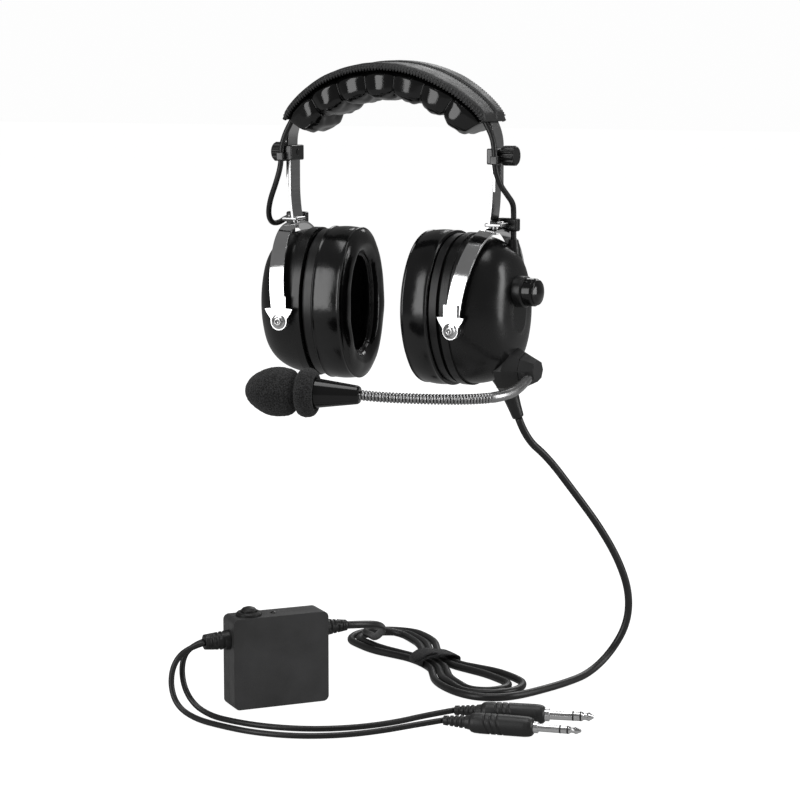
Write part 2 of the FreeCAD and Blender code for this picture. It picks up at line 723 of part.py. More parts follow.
def microphone():
    node("boom_gooseneck", tube(BOOM, size("gooseneck_radius"), "boom_gooseneck"))
    place = FreeCAD.Placement(V(*BOOM[-1]), turned(MIC_AXIS))
    housing = turning([(0, 0), (5.4, 0), (6.3, 1.2), (6.6, 3), (10.3, 31), (9.6, 36), (0, 36)])
    node("mic_housing", housing, place)
    node("mic_capsule", cylinder(6, 5, (0, 0, 36.2)), place)
    foam = turning([(10.6, 30.5), (14, 30.5), (16, 33), (16, 42), (13, 44.5), (16, 49), (16.6, 56), (15.8, 65),
                    (12.8, 74), (7.5, 79), (0, 81), (0, 42), (10.6, 42)])
    node("mic_windscreen", foam, place)


# ---------------------------------------------------------------- strain relief and cords

RELIEF_BASE = (81, 12, -191)
RELIEF_TIP = (91, 18, -224)


def laid(point):
    """A point of the floor layout, in the row's frame."""
    return LAYOUT.multVec(V(*point))


# Routes in the floor layout: across, away and above the surface.
DROP = [(111, -17, 163), (131, -12, 136), (149, -5, 111), (164, 1, 85), (173, 6, 59), (172, 8, 35),
        (160, 6, 14), (143, -12, 3), (125, -38, 3), (104, -60, 3), (88, -74, 3)]
BOX_LEAD = [(-34, -59, 50), (-20, -52, 49), (-10, -37, 45), (-7, -12, 36), (-10, 18, 25), (-14, 48, 15),
            (-17, 76, 10), (-15, 101, 9)]
LEAD_A = [(-130.7, -99.2, 48), (-142, -103, 44), (-149, -106, 32), (-149, -109, 19), (-143, -114, 8),
          (-131, -123, 2.4), (-112, -137, 2.4), (-86, -151, 2.4), (-56, -158, 2.4), (-25, -154, 2.4),
          (2, -143, 3), (22, -133, 5), (42, -127, 7)]
LEAD_B = [(-129, -103, 48), (-143, -110, 45), (-155, -114, 34), (-158, -116, 19), (-153, -121, 7),
          (-140, -132, 2.4), (-119, -149, 2.4), (-92, -166, 2.4), (-62, -175, 2.4), (-31, -172, 2.4),
          (-6, -163, 3), (14, -157, 5), (34, -152, 7)]
PLUG_TIPS = {"a": (134, -144, 7), "b": (124, -178, 7)}


def cords():
    base, tip = V(*RELIEF_BASE), V(*RELIEF_TIP)
    way = tip - base
    relief = turning([(0, 0), (7, 0), (6.6, 6), (5.2, 12), (3.8, way.Length), (0, way.Length)])
    relief.Placement = FreeCAD.Placement(base, turned(tuple(way)))
    node("strain_relief", relief)
    way.normalize()
    start = tip + way * 16
    drop = [RELIEF_TIP, tuple(start)] + [tuple(laid(p)) for p in DROP]
    node("cord_drop", tube(drop, size("cord_radius"), "cord_drop"))
    node("box_lead", tube([tuple(laid(p)) for p in BOX_LEAD], size("cord_radius"), "box_lead"))
    for name, route in (("plug_lead_a", LEAD_A), ("plug_lead_b", LEAD_B)):
        node(name, tube([tuple(laid(p)) for p in route], size("cable_radius"), name))


HANK_NEAR = (82, -78, 0)
HANK_FAR = (-20, 124, 0)


def hank():
    """The folded cord's outer form: two lobes and the waist where the tie holds it."""
    near, far = V(*HANK_NEAR), V(*HANK_FAR)
    way = far - near
    length = way.Length
    yaw = math.degrees(math.atan2(way.y, way.x))
    place = LAYOUT.multiply(FreeCAD.Placement(near, FreeCAD.Rotation(Z_AXIS, yaw)))
    half = length / 2
    outline = [(0, 0), (8, 20), (28, 31), (60, 29), (92, 15), (128, 15), (158, 27), (190, 31),
               (length - 10, 22), (length, 0)]
    corners = outline + [(x, -y) for x, y in outline[-2:0:-1]]
    body = plate("XY_Plane", corners, "hank_tall")
    node("cord_hank", body, place)
    tie = rounded(block((half - 14, -18, 0), (half + 14, 18, "hank_tall + 2.5")), 2)
    mouth = block((half - 20, -15.4, -1), (half + 20, 15.4, "hank_tall + 0.4"))
    node("cord_tie", cut(tie, mouth), place)


# ---------------------------------------------------------------- control box

def along_y(edge):
    first, last = edge.Vertexes[0].Point, edge.Vertexes[-1].Point
    return abs(first.y - last.y) > 1


def control_box():
    seam = 0.1
    depth, tall = "box_depth", "box_tall"
    halves = (("box_front", "0", f"{depth} / 2 - {seam}", "box_wall", 60),
              ("box_rear", f"{depth} / 2 + {seam}", depth, "-10", f"{depth} - box_wall"))
    for name, near, far, inner_near, inner_far in halves:
        outer = rounded(block((0, near, 0), ("box_width", far, tall)), size("box_edge"), along_y)
        hollow = block(("box_wall", inner_near, "box_wall"),
                       ("box_width - box_wall", inner_far, f"{tall} - box_wall"))
        node(name, cut(outer, hollow), BOX)
    board = block((6, f"{depth} / 2 - 0.8", 7), ("box_width - 6", f"{depth} / 2 + 0.8", 55))
    node("box_board", group(board), BOX)
    middle = size("box_depth") / 2
    bore = "button_radius + moving_gap"
    collar = turning([(bore, 0), (9, 0), (9, 1.6), (8, 2.6), (bore, 2.6)])
    top = size("box_tall")
    button_along = 15
    collar.Placement = FreeCAD.Placement(V(button_along, middle, top + 0.02), FreeCAD.Rotation())
    node("button_collar", collar, BOX)
    button = turning([(0, 0), ("button_radius", 0), ("button_radius", 2.2), ("button_radius - 1.4", 3.6),
                      (2, 4.4), (0, 4.5)])
    lift = size("button_travel") + 0.3
    button.Placement = FreeCAD.Placement(V(button_along, middle, top + lift), FreeCAD.Rotation())
    node("box_button", button, BOX)
    right = cone(6.2, 3.6, "gland_length", (size("box_width") + 0.02, middle, 50), (1, 0, 0))
    left = cone(7, 4.9, "gland_length", (-0.02, middle, 48), (-1, 0, 0))
    node("box_glands", group(right, left), BOX)


# ---------------------------------------------------------------- plugs

PLUGS = {"a": (LEAD_A[-1], 3.175, 33), "b": (LEAD_B[-1], 2.615, 32)}


def plugs():
    for name, (tail, barrel, reach) in PLUGS.items():
        start, end = laid(tail), laid(PLUG_TIPS[name])
        place = FreeCAD.Placement(start, turned(tuple(end - start)))
        grip = turning([(0, 0), (3.4, 0), (4.6, 18), ("grip_radius - 0.6", 20), ("grip_radius", 26),
                        ("grip_radius", "grip_length - 4"), ("grip_radius - 1.6", "grip_length"),
                        (0, "grip_length")])
        node(f"plug_{name}_grip", grip, place)
        sleeve = barrel + 1.2
        top = "grip_length"
        contacts = turning([
            (0, f"{top} + 0.02"), (sleeve, f"{top} + 0.02"), (sleeve, f"{top} + 3"), (barrel, f"{top} + 3"),
            (barrel, f"{top} + {reach - 8}"), (barrel - 0.9, f"{top} + {reach - 6.6}"),
            (barrel - 0.7, f"{top} + {reach - 4.5}"), (barrel - 0.1, f"{top} + {reach - 3.4}"),
            (0.9, f"{top} + {reach}"), (0, f"{top} + {reach}"),
        ])
        node(f"plug_{name}_contacts", contacts, place)


headband()
for hand in ("left", "right"):
    arm(hand)
    clamp(hand)
    cable_loop(hand)
    yoke(hand)
    cup(hand)
volume()
boom_swivel()
microphone()
cords()
hank()
control_box()
plugs()

doc.recompute()
faults = [o.Name for o in doc.Objects if "Invalid" in o.State or "Error" in o.State]
for label, obj in NODES.items():
    if obj.Shape.isNull() or not obj.Shape.isValid() or obj.Shape.Volume <= 0:
        faults.append(label)
if faults:
    raise RuntimeError(f"not built: {faults}")
os.makedirs("parts", exist_ok=True)
for label, obj in NODES.items():
    obj.Shape.exportStep(os.path.join("parts", f"{label}.step"))
print(f"{len(NODES)} nodes")
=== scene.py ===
import math

import bpy
import numpy as np
from mathutils import Matrix, Vector, noise


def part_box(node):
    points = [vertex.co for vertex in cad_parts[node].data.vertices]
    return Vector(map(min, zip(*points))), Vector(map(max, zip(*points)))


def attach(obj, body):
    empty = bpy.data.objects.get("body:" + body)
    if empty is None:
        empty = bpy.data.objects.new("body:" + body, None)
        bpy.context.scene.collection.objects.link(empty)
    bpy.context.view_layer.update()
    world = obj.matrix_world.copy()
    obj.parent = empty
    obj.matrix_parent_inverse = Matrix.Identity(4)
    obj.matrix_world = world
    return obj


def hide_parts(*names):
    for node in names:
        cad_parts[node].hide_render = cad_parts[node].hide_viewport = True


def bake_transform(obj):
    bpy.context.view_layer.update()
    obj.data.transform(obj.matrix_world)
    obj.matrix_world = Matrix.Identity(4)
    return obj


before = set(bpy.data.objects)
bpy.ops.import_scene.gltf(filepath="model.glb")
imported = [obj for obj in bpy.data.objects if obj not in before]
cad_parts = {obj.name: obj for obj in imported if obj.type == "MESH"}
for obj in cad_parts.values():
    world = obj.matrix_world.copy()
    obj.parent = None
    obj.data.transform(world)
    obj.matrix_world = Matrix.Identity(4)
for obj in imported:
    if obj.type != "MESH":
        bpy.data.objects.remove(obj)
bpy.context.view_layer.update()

MM = 0.001
FLOOR = -0.417
LAYOUT_TURN = math.radians(27)  # the floor layout and the camera share this turn
RIGHT = Vector((math.cos(LAYOUT_TURN), math.sin(LAYOUT_TURN), 0))
AWAY = Vector((-math.sin(LAYOUT_TURN), math.cos(LAYOUT_TURN), 0))


# ---------------------------------------------------------------- camera and studio

def add_camera():
    data = bpy.data.cameras.new("camera")
    data.sensor_width = 36
    data.lens = 107.1
    data.clip_end = 50
    camera = bpy.data.objects.new("camera", data)
    bpy.context.scene.collection.objects.link(camera)
    dip = math.radians(8)
    camera.location = AWAY * -1.7 + RIGHT * 0.005 + Vector((0, 0, 0.024))
    camera.rotation_euler = (math.pi / 2 - dip, 0, LAYOUT_TURN)
    bpy.context.scene.camera = camera


add_camera()


# ---------------------------------------------------------------- meshes

def add_mesh(name, points, faces, smooth=True):
    mesh = bpy.data.meshes.new(name)
    mesh.from_pydata([tuple(p) for p in points], [], faces)
    mesh.validate()
    if smooth:
        mesh.polygons.foreach_set("use_smooth", [True] * len(mesh.polygons))
    mesh.update()
    obj = bpy.data.objects.new(name, mesh)
    bpy.context.scene.collection.objects.link(obj)
    return obj


def skin_faces(rows, columns, around=True, along=False, first=0):
    """Quads over a grid of points, closed around each row and, if asked, along the rows."""
    faces = []
    for i in range(rows if along else rows - 1):
        below, above = i * columns, (i + 1) % rows * columns
        for j in range(columns if around else columns - 1):
            k = (j + 1) % columns
            faces.append((first + below + j, first + below + k, first + above + k, first + above + j))
    return faces


def loft(name, rings, along=False, capped=True):
    """A closed skin through rings of points, with a cap at each end."""
    rings = np.asarray(rings, float)
    rows, columns = rings.shape[:2]
    points = [tuple(p) for p in rings.reshape(-1, 3)]
    faces = skin_faces(rows, columns, along=along)
    if capped and not along:
        faces.append(tuple(range(columns))[::-1])
        faces.append(tuple(range((rows - 1) * columns, rows * columns)))
    return add_mesh(name, points, faces)


def frames_along(path):
    """Unit tangents, and two directions across, carried along a path without twisting."""
    tangents = np.gradient(path, axis=0)
    tangents /= np.linalg.norm(tangents, axis=1)[:, None]
    side = np.cross(tangents[0], (0, 0, 1) if abs(tangents[0][2]) < 0.9 else (1, 0, 0))
    sides = []
    for tangent in tangents:
        side = side - tangent * (side @ tangent)
        side = side / np.linalg.norm(side)
        sides.append(side)
    sides = np.array(sides)
    return tangents, sides, np.cross(tangents, sides)


def tube(name, path, radius, sides=16):
    """A tube round a path. The radius is a number, or a function of length along and angle."""
    path = np.asarray(path, float)
    _, across, up = frames_along(path)
    reach = np.concatenate([[0], np.cumsum(np.linalg.norm(np.diff(path, axis=0), axis=1))])
    angles = np.arange(sides) * 2 * math.pi / sides
    rings = []
    for centre, a, b, s in zip(path, across, up, reach):
        r = np.array([radius(s, t) for t in angles]) if callable(radius) else np.full(sides, radius)
        around = a[None] * np.cos(angles)[:, None] + b[None] * np.sin(angles)[:, None]
        rings.append(centre + around * r[:, None])
    return loft(name, rings)


def lathe(name, profile, place, sides=48, shape=None):
    """A turned piece: a profile of (height, radius), its axis along the place's Z."""
    rings = []
    for height, radius in profile:
        ring = []
        for j in range(sides):
            t = j * 2 * math.pi / sides
            r = max(radius, 1e-5)
            if shape:
                r = shape(height, t, r)
            ring.append(place @ Vector((r * math.cos(t), r * math.sin(t), height)))
        rings.append(ring)
    return loft(name, rings)


def pointing(origin, way):
    """A place whose Z axis points along a direction."""
    return Matrix.Translation(origin) @ Vector(way).to_track_quat("Z", "Y").to_matrix().to_4x4()


def join(name, pieces):
    """Several meshes as one piece."""
    points, faces = [], []
    for piece in pieces:
        first = len(points)
        points += [tuple(v.co) for v in piece.data.vertices]
        faces += [tuple(first + i for i in p.vertices) for p in piece.data.polygons]
        mesh = piece.data
        bpy.data.objects.remove(piece)
        bpy.data.meshes.remove(mesh)
    return add_mesh(name, points, faces)


def subdivided(obj, levels=1):
    modifier = obj.modifiers.new("smooth", "SUBSURF")
    modifier.levels = levels
    modifier.render_levels = levels
    return obj


def sizes(values):
    """Sizes in millimetres as metres."""
    return np.asarray(values, float) * MM


# ---------------------------------------------------------------- materials

class Finish:
    """A procedural material, built up in layers on one Principled shader."""

    def __init__(self, name, color, roughness, metallic=0.0, specular=0.5, edge=0.0):
        self.material = bpy.data.materials.new(name)
        self.material.use_nodes = True
        self.tree = self.material.node_tree
        self.shader = self.tree.nodes["Principled BSDF"]
        self.shader.inputs["Base Color"].default_value = (*color, 1)
        self.shader.inputs["Roughness"].default_value = roughness
        self.shader.inputs["Metallic"].default_value = metallic
        self.shader.inputs["Specular IOR Level"].default_value = specular
        self.place = self.node("ShaderNodeTexCoord").outputs["Object"]
        self.normal = None
        if edge:
            bevel = self.node("ShaderNodeBevel", samples=4)
            bevel.inputs["Radius"].default_value = edge
            self.normal = bevel.outputs[0]
            self.link(self.normal, self.shader.inputs["Normal"])

    def node(self, kind, **settings):
        node = self.tree.nodes.new(kind)
        for key, value in settings.items():
            setattr(node, key, value)
        return node

    def link(self, source, target):
        self.tree.links.new(source, target)

    def noise(self, scale, detail=3.0, stretch=None, distortion=0.0):
        texture = self.node("ShaderNodeTexNoise")
        texture.inputs["Scale"].default_value = scale
        texture.inputs["Detail"].default_value = detail
        texture.inputs["Distortion"].default_value = distortion
        self.link(self.stretched(stretch), texture.inputs["Vector"])
        return texture.outputs["Fac"]

    def cells(self, scale, feature="F1", stretch=None):
        texture = self.node("ShaderNodeTexVoronoi", feature=feature)
        texture.inputs["Scale"].default_value = scale
        self.link(self.stretched(stretch), texture.inputs["Vector"])
        return texture.outputs["Distance"]

    def waves(self, scale, direction="X", distortion=0.0):
        texture = self.node("ShaderNodeTexWave", bands_direction=direction)
        texture.inputs["Scale"].default_value = scale
        texture.inputs["Distortion"].default_value = distortion
        self.link(self.place, texture.inputs["Vector"])
        return texture.outputs["Fac"]

    def stretched(self, stretch):
        if stretch is None:
            return self.place
        mapping = self.node("ShaderNodeMapping")
        mapping.inputs["Scale"].default_value = stretch
        self.link(self.place, mapping.inputs["Vector"])
        return mapping.outputs["Vector"]

    def ranged(self, value, low, high, start=0.3, end=0.7):
        remap = self.node("ShaderNodeMapRange")
        for key, number in (("From Min", start), ("From Max", end), ("To Min", low), ("To Max", high)):
            remap.inputs[key].default_value = number
        self.link(value, remap.inputs["Value"])
        return remap.outputs["Result"]

    def colors(self, value, low, high, start=0.3, end=0.7):
        ramp = self.node("ShaderNodeValToRGB")
        for element, position, color in zip(ramp.color_ramp.elements, (start, end), (low, high)):
            element.position = position
            element.color = (*color, 1)
        self.link(value, ramp.inputs["Fac"])
        self.link(ramp.outputs["Color"], self.shader.inputs["Base Color"])
        return self

    def sheen_of(self, value, low, high, start=0.3, end=0.7):
        """Roughness that varies over the surface."""
        self.link(self.ranged(value, low, high, start, end), self.shader.inputs["Roughness"])
        return self

    def bump(self, value, height, strength=1.0):
        bump = self.node("ShaderNodeBump")
        bump.inputs["Distance"].default_value = height
        bump.inputs["Strength"].default_value = strength
        self.link(value, bump.inputs["Height"])
        if self.normal is not None:
            self.link(self.normal, bump.inputs["Normal"])
        self.normal = bump.outputs["Normal"]
        self.link(self.normal, self.shader.inputs["Normal"])
        return self

    def sheen(self, weight, roughness=0.4):
        self.shader.inputs["Sheen Weight"].default_value = weight
        self.shader.inputs["Sheen Roughness"].default_value = roughness
        return self


def plastic(name, shade, roughness, grain, depth, edge=0.0004, specular=0.5):
    """Moulded plastic: a fine grain, faint handling marks and uneven gloss."""
    finish = Finish(name, (shade,) * 3, roughness, specular=specular, edge=edge)
    finish.colors(finish.noise(35, 4), (shade * 0.8,) * 3, (shade * 1.3, shade * 1.3, shade * 1.33))
    finish.sheen_of(finish.noise(60, 5), roughness * 0.85, roughness * 1.25)
    finish.bump(finish.noise(grain, 3), depth)
    return finish


def polished(name, shade, roughness, lines=(1, 1, 12)):
    """Polished metal with faint lines along it and a few dull patches."""
    finish = Finish(name, (shade, shade, shade * 1.01), roughness, metallic=1.0, edge=0.00025)
    finish.colors(finish.noise(90, 4), (shade * 0.9,) * 3, (shade, shade, shade * 1.01))
    finish.sheen_of(finish.noise(70, 5, stretch=lines), roughness * 0.7, roughness * 1.7)
    finish.bump(finish.noise(500, 2, stretch=lines), 0.00001)
    return finish


def make_materials():
    made = {}
    made["chrome"] = polished("chrome", 0.86, 0.07)
    made["spring_steel"] = polished("spring_steel", 0.5, 0.16)
    made["pin_steel"] = polished("pin_steel", 0.66, 0.13, (1, 1, 1))
    made["dark_metal"] = polished("dark_metal", 0.09, 0.28, (1, 1, 1))

    leather = Finish("cover_leather", (0.035,) * 3, 0.55)
    leather.colors(leather.noise(22, 5), (0.015,) * 3, (0.034, 0.034, 0.035))
    leather.sheen_of(leather.noise(45, 4), 0.42, 0.62)
    leather.bump(leather.cells(620, "DISTANCE_TO_EDGE"), 0.00018)
    leather.bump(leather.noise(1500, 2), 0.00005)
    made["cover_leather"] = leather

    vinyl = Finish("pad_vinyl", (0.006,) * 3, 0.14, specular=0.6)
    vinyl.colors(vinyl.noise(30, 3), (0.002,) * 3, (0.005, 0.005, 0.0053))
    vinyl.sheen_of(vinyl.noise(55, 4), 0.07, 0.15)
    vinyl.bump(vinyl.noise(38, 2, distortion=0.6), 0.001, 0.35)
    vinyl.bump(vinyl.cells(900, "DISTANCE_TO_EDGE"), 0.00003)
    made["pad_vinyl"] = vinyl

    seal = Finish("seal_vinyl", (0.006,) * 3, 0.13, specular=0.6)
    seal.colors(seal.noise(30, 3), (0.002,) * 3, (0.006, 0.006, 0.0063))
    seal.sheen_of(seal.noise(40, 4), 0.1, 0.19)
    seal.bump(seal.noise(45, 3), 0.001, 0.35)
    seal.bump(seal.cells(900, "DISTANCE_TO_EDGE"), 0.00003)
    made["seal_vinyl"] = seal

    made["shell_plastic"] = plastic("shell_plastic", 0.0065, 0.24, 900, 0.00003)
    made["black_plastic"] = plastic("black_plastic", 0.008, 0.32, 1400, 0.00005)
    made["gloss_plastic"] = plastic("gloss_plastic", 0.005, 0.1, 300, 0.00001)
    made["mount_plastic"] = plastic("mount_plastic", 0.021, 0.4, 1500, 0.00006)
    made["box_plastic"] = plastic("box_plastic", 0.042, 0.46, 1900, 0.00009)
    made["grip_plastic"] = plastic("grip_plastic", 0.02, 0.4, 1500, 0.00005)

    foam = Finish("foam", (0.02,) * 3, 0.95, specular=0.2)
    foam.colors(foam.cells(900), (0.004,) * 3, (0.04, 0.04, 0.041), 0.15, 0.75)
    foam.bump(foam.cells(800), 0.0005)
    foam.bump(foam.noise(1800, 3), 0.0003)
    foam.sheen(0.1, 0.6)
    made["foam"] = foam

    rubber = plastic("rubber", 0.011, 0.42, 1200, 0.00004)
    made["rubber"] = rubber
    cord = Finish("cord_rubber", (0.02,) * 3, 0.36)
    cord.colors(cord.noise(28, 4), (0.009,) * 3, (0.02, 0.02, 0.0205))
    cord.sheen_of(cord.noise(40, 4), 0.3, 0.48)
    cord.bump(cord.noise(1100, 3), 0.00005)
    made["cord_rubber"] = cord

    fabric = Finish("tie_fabric", (0.02,) * 3, 0.9, specular=0.2)
    fabric.colors(fabric.cells(1500), (0.01,) * 3, (0.05, 0.05, 0.052), 0.1, 0.8)
    fabric.bump(fabric.cells(1300), 0.0004)
    fabric.bump(fabric.noise(2500, 2), 0.0002)
    fabric.sheen(0.15, 0.5)
    made["tie_fabric"] = fabric

    thread = Finish("thread", (0.03,) * 3, 0.6)
    thread.colors(thread.noise(600, 3), (0.03,) * 3, (0.1, 0.1, 0.102))
    thread.bump(thread.waves(1400, "DIAGONAL", 2), 0.0001)
    made["thread"] = thread

    board = Finish("board", (0.02, 0.09, 0.05), 0.4)
    board.colors(board.noise(250, 4), (0.01, 0.06, 0.03), (0.03, 0.13, 0.07))
    board.bump(board.cells(500), 0.0001)
    made["board"] = board

    made["plug_metal"] = polished("plug_metal", 0.88, 0.12, (1, 1, 1))
    made["sleeve_metal"] = polished("sleeve_metal", 0.42, 0.22, (1, 1, 1))
    # The spiral's metal is partly a wound steel wire and partly painted highlight on the gooseneck's ribs.
    made["spiral_metal_painted_highlight"] = polished("spiral_metal_painted_highlight", 0.46, 0.16, (1, 1, 1))
    return made


FINISHES = make_materials()


def dress(obj, finish):
    """Gives a piece its material."""
    obj.data.materials.clear()
    obj.data.materials.append(FINISHES[finish].material)
    return obj


# ---------------------------------------------------------------- cords

def on_floor(point):
    """A point of the floor layout (across, away, above, in millimetres) in the row's frame."""
    across, away, above = point
    return RIGHT * across * MM + AWAY * away * MM + Vector((0, 0, FLOOR + above * MM))


def flexible_line(name, points, density=12):
    """Points read along the smooth NURBS line that a cord's control points give."""
    curve = bpy.data.curves.new(name, "CURVE")
    curve.dimensions = "3D"
    curve.resolution_u = density
    spline = curve.splines.new("NURBS")
    spline.points.add(len(points) - 1)
    for target, point in zip(spline.points, points):
        target.co = (*point, 1)
    spline.order_u = 3
    spline.use_endpoint_u = True
    obj = bpy.data.objects.new(name, curve)
    bpy.context.scene.collection.objects.link(obj)
    bpy.context.view_layer.update()
    line = bpy.data.meshes.new_from_object(obj.evaluated_get(bpy.context.evaluated_depsgraph_get()))
    path = np.array([v.co for v in line.vertices], float)
    bpy.data.objects.remove(obj)
    bpy.data.curves.remove(curve)
    bpy.data.meshes.remove(line)
    if (Vector(path[0]) - Vector(points[0])).length > (Vector(path[-1]) - Vector(points[0])).length:
        path = path[::-1]
    keep = [0]
    for i in range(1, len(path)):
        if np.linalg.norm(path[i] - path[keep[-1]]) > 1e-5:
            keep.append(i)
    return path[keep]


CORD_RADIUS = 2.75 * MM
LEAD_RADIUS = 2 * MM
RELIEF_BASE = Vector(sizes((81, 12, -191)))
RELIEF_TIP = Vector(sizes((91, 18, -224)))

# Routes in the floor layout: across, away and above the surface, in millimetres.
DROP = [(111, -17, 163), (131, -12, 136), (149, -5, 111), (164, 1, 85), (173, 6, 59), (172, 8, 35),
        (160, 6, 14), (143, -12, 3), (125, -38, 3), (104, -60, 3), (88, -74, 3)]
BOX_LEAD = [(-34, -59, 50), (-20, -52, 49), (-10, -37, 45), (-7, -12, 36), (-10, 18, 25), (-14, 48, 15),
            (-17, 76, 10), (-22.9, 87.5, 9.5), (-18.4, 100.9, 8.5)]
LEAD_A = [(-130.7, -99.2, 48), (-140, -103, 45), (-145, -106, 35), (-144, -109, 20), (-137, -114, 8),
          (-125, -123, 2.4), (-110, -137, 2.4), (-86, -151, 2.4), (-56, -158, 2.4), (-25, -154, 2.4),
          (2, -143, 3), (22, -133, 5), (42, -127, 7)]
LEAD_B = [(-129, -103, 48), (-141, -110, 46), (-150, -114, 36), (-152, -116, 21), (-147, -121, 8),
          (-134, -132, 2.4), (-116, -149, 2.4), (-92, -166, 2.4), (-62, -175, 2.4), (-31, -172, 2.4),
          (-6, -163, 3), (14, -157, 5), (34, -152, 7)]
PLUG_TIPS = {"a": (134, -144, 7), "b": (124, -178, 7)}

# The hank lies between these two ends of the layout.
HANK_NEAR = Vector((82, -78))
HANK_FAR = Vector((-20, 124))
HANK_WAY = (HANK_FAR - HANK_NEAR).normalized()
HANK_LENGTH = (HANK_FAR - HANK_NEAR).length


def in_hank(along, aside, above):
    """A point of the hank, along it from its near end, as a point of the floor layout."""
    flat = HANK_NEAR + HANK_WAY * along + Vector((-HANK_WAY.y, HANK_WAY.x)) * aside
    return (flat.x, flat.y, above)


def hank_turns():
    """The strands of the hank, there and back, with the round ends that join them."""
    # Each strand's distance aside in the near lobe, at the tie and in the far lobe.
    strands = [(28.5, 11.4, 28), (-28, -11.4, -29), (22, 5.7, 21.5), (-17.5, -5.7, -22), (16, 0, -15)]
    # How far along each strand is sampled, and how much of a lobe's width it has there.
    stations = [(44, 1.0), (64, 0.86), (82, 0.4), (98, 0), (128, 0), (146, 0.42), (164, 0.88), (184, 1.0)]
    near_middle, far_middle = 38, 192
    rest = 2.9
    points = [(2, 8, rest), (11, 21, rest), (26, 27, rest)]
    for number, (near, waist, far) in enumerate(strands):
        outward = number % 2 == 0
        strand = []
        for along, share in stations:
            lobe = near if along < (near_middle + far_middle) / 2 else far
            strand.append((along, waist + (lobe - waist) * share, rest + 0.6 * (number % 3) * share))
        points += strand if outward else strand[::-1]
        if number + 1 < len(strands):
            column, middle, way = (2, far_middle, 1) if outward else (0, near_middle, -1)
            points += fold(strands[number][column], strands[number + 1][column], middle, way, rest)
    points += [(195, -15, 4), (205, -5, 6.5)]
    return [on_floor(in_hank(*p)) for p in points]


def fold(here, there, middle, way, above):
    """The corners of a half circle that turns a strand back."""
    half_step = math.pi / 8
    radius = (here - there) / 2
    corner = radius / math.cos(half_step)
    return [(middle + way * abs(corner) * math.sin(turn), here - radius + corner * math.cos(turn), above)
            for turn in (half_step * k for k in (1, 3, 5, 7))]


def main_cord():
    """The cord from the left cup to the control box, with its hank on the floor."""
    way = (RELIEF_TIP - RELIEF_BASE).normalized()
    route = [RELIEF_TIP, RELIEF_TIP + way * 16 * MM] + [on_floor(p) for p in DROP]
    route += hank_turns() + [on_floor(p) for p in BOX_LEAD[::-1]]
    path = flexible_line("main_cord_line", route)
    cord = tube("main_cord", path, CORD_RADIUS)
    dress(cord, "cord_rubber")
    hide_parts("cord_drop", "cord_hank", "box_lead")
    # Straight down: along a slanted axis the box end would lie before the start and follow the cup.
    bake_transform(cord)
    return cord, path


def plug_lead(letter, points):
    path = flexible_line(f"plug_lead_{letter}_line", [on_floor(p) for p in points])
    lead = tube(f"plug_cord_{letter}", path, LEAD_RADIUS)
    dress(lead, "cord_rubber")
    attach(lead, "left_yoke")
    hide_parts(f"plug_lead_{letter}")
    return lead, path


MAIN_CORD, MAIN_PATH = main_cord()
PLUG_LEADS = {"a": plug_lead("a", LEAD_A), "b": plug_lead("b", LEAD_B)}


# ---------------------------------------------------------------- cables between the cups

# The cable from the cover to the yoke, each point outwards, forward and up from the hub.
HUB = 80
CABLE_FRONT = 9.6
LOOPS = {
    "left": [(2.6, 10, -25), (5, 11.7, -36), (5, 11.7, -47), (8, 9, -58),
             (10, 0, -66), (10, -8.5, -71.5), (9.06, -11.75, -78), (9.06, -11.75, -84)],
    "right": [(2.6, 10, -25), (5, 11.7, -36), (5, 11.7, -47), (9, 12, -60), (16, 9, -73),
              (20.5, 4, -84), (21.5, -3, -90.5), (19, -9.5, -90.5), (14.5, -11.6, -87), (11.8, -11.5, -86.2)],
}
CLIP_HEIGHT = -41 * MM


def side_sign(side):
    return 1 if side == "left" else -1


def side_place(side):
    """The frame of a toed cup and yoke: x outwards from the hub, z up."""
    turn = math.radians(-5 if side == "left" else 185)
    return Matrix.Translation((side_sign(side) * HUB * MM, 0, 0)) @ Matrix.Rotation(turn, 4, "Z")


def side_cables(side):
    """The cable that hangs between the cover and the yoke, and its tail into the cup."""
    out = side_sign(side)
    start = Vector((out * 76.6, -CABLE_FRONT, -14.6))
    slope = math.radians(60)
    inside = start - Vector((out * math.cos(slope), 0, -math.sin(slope))) * 3
    route = [inside, start] + [Vector((out * (HUB + x), -forward, z)) for x, forward, z in LOOPS[side]]
    path = flexible_line(f"{side}_cable_line", [p * MM for p in route])
    split = int(np.argmin(abs(path[:, 2] - CLIP_HEIGHT)))
    upper = tube(f"{side}_cable_upper", path[:split + 1], LEAD_RADIUS)
    lower = tube(f"{side}_cable_lower", path[split:], LEAD_RADIUS)
    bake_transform(upper)
    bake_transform(lower)
    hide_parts(f"{side}_cable_loop")
    low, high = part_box(f"{side}_cable_tail")
    middle = (low + high) / 2
    foot, head = Vector((middle.x, middle.y, low.z - 4 * MM)), Vector((middle.x, middle.y, high.z + 1 * MM))
    steps = np.linspace(0, 1, 14)[:, None]
    tail = tube(f"{side}_cable_down", np.array(head) * (1 - steps) + np.array(foot) * steps, LEAD_RADIUS)
    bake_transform(tail)
    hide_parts(f"{side}_cable_tail")
    for piece in (upper, lower, tail):
        dress(piece, "cord_rubber")


for hand in ("left", "right"):
    side_cables(hand)


# ---------------------------------------------------------------- headband

SPAN, CROWN_RADIUS, CROWN, LEG_TOP = 82.5, 105, 22, -32
RISE = CROWN - LEG_TOP
SHOULDER = (CROWN_RADIUS**2 - SPAN**2 - (CROWN_RADIUS - RISE) ** 2) / (2 * (CROWN_RADIUS - SPAN))
JOINT = math.atan2(SPAN - SHOULDER, CROWN_RADIUS - RISE)


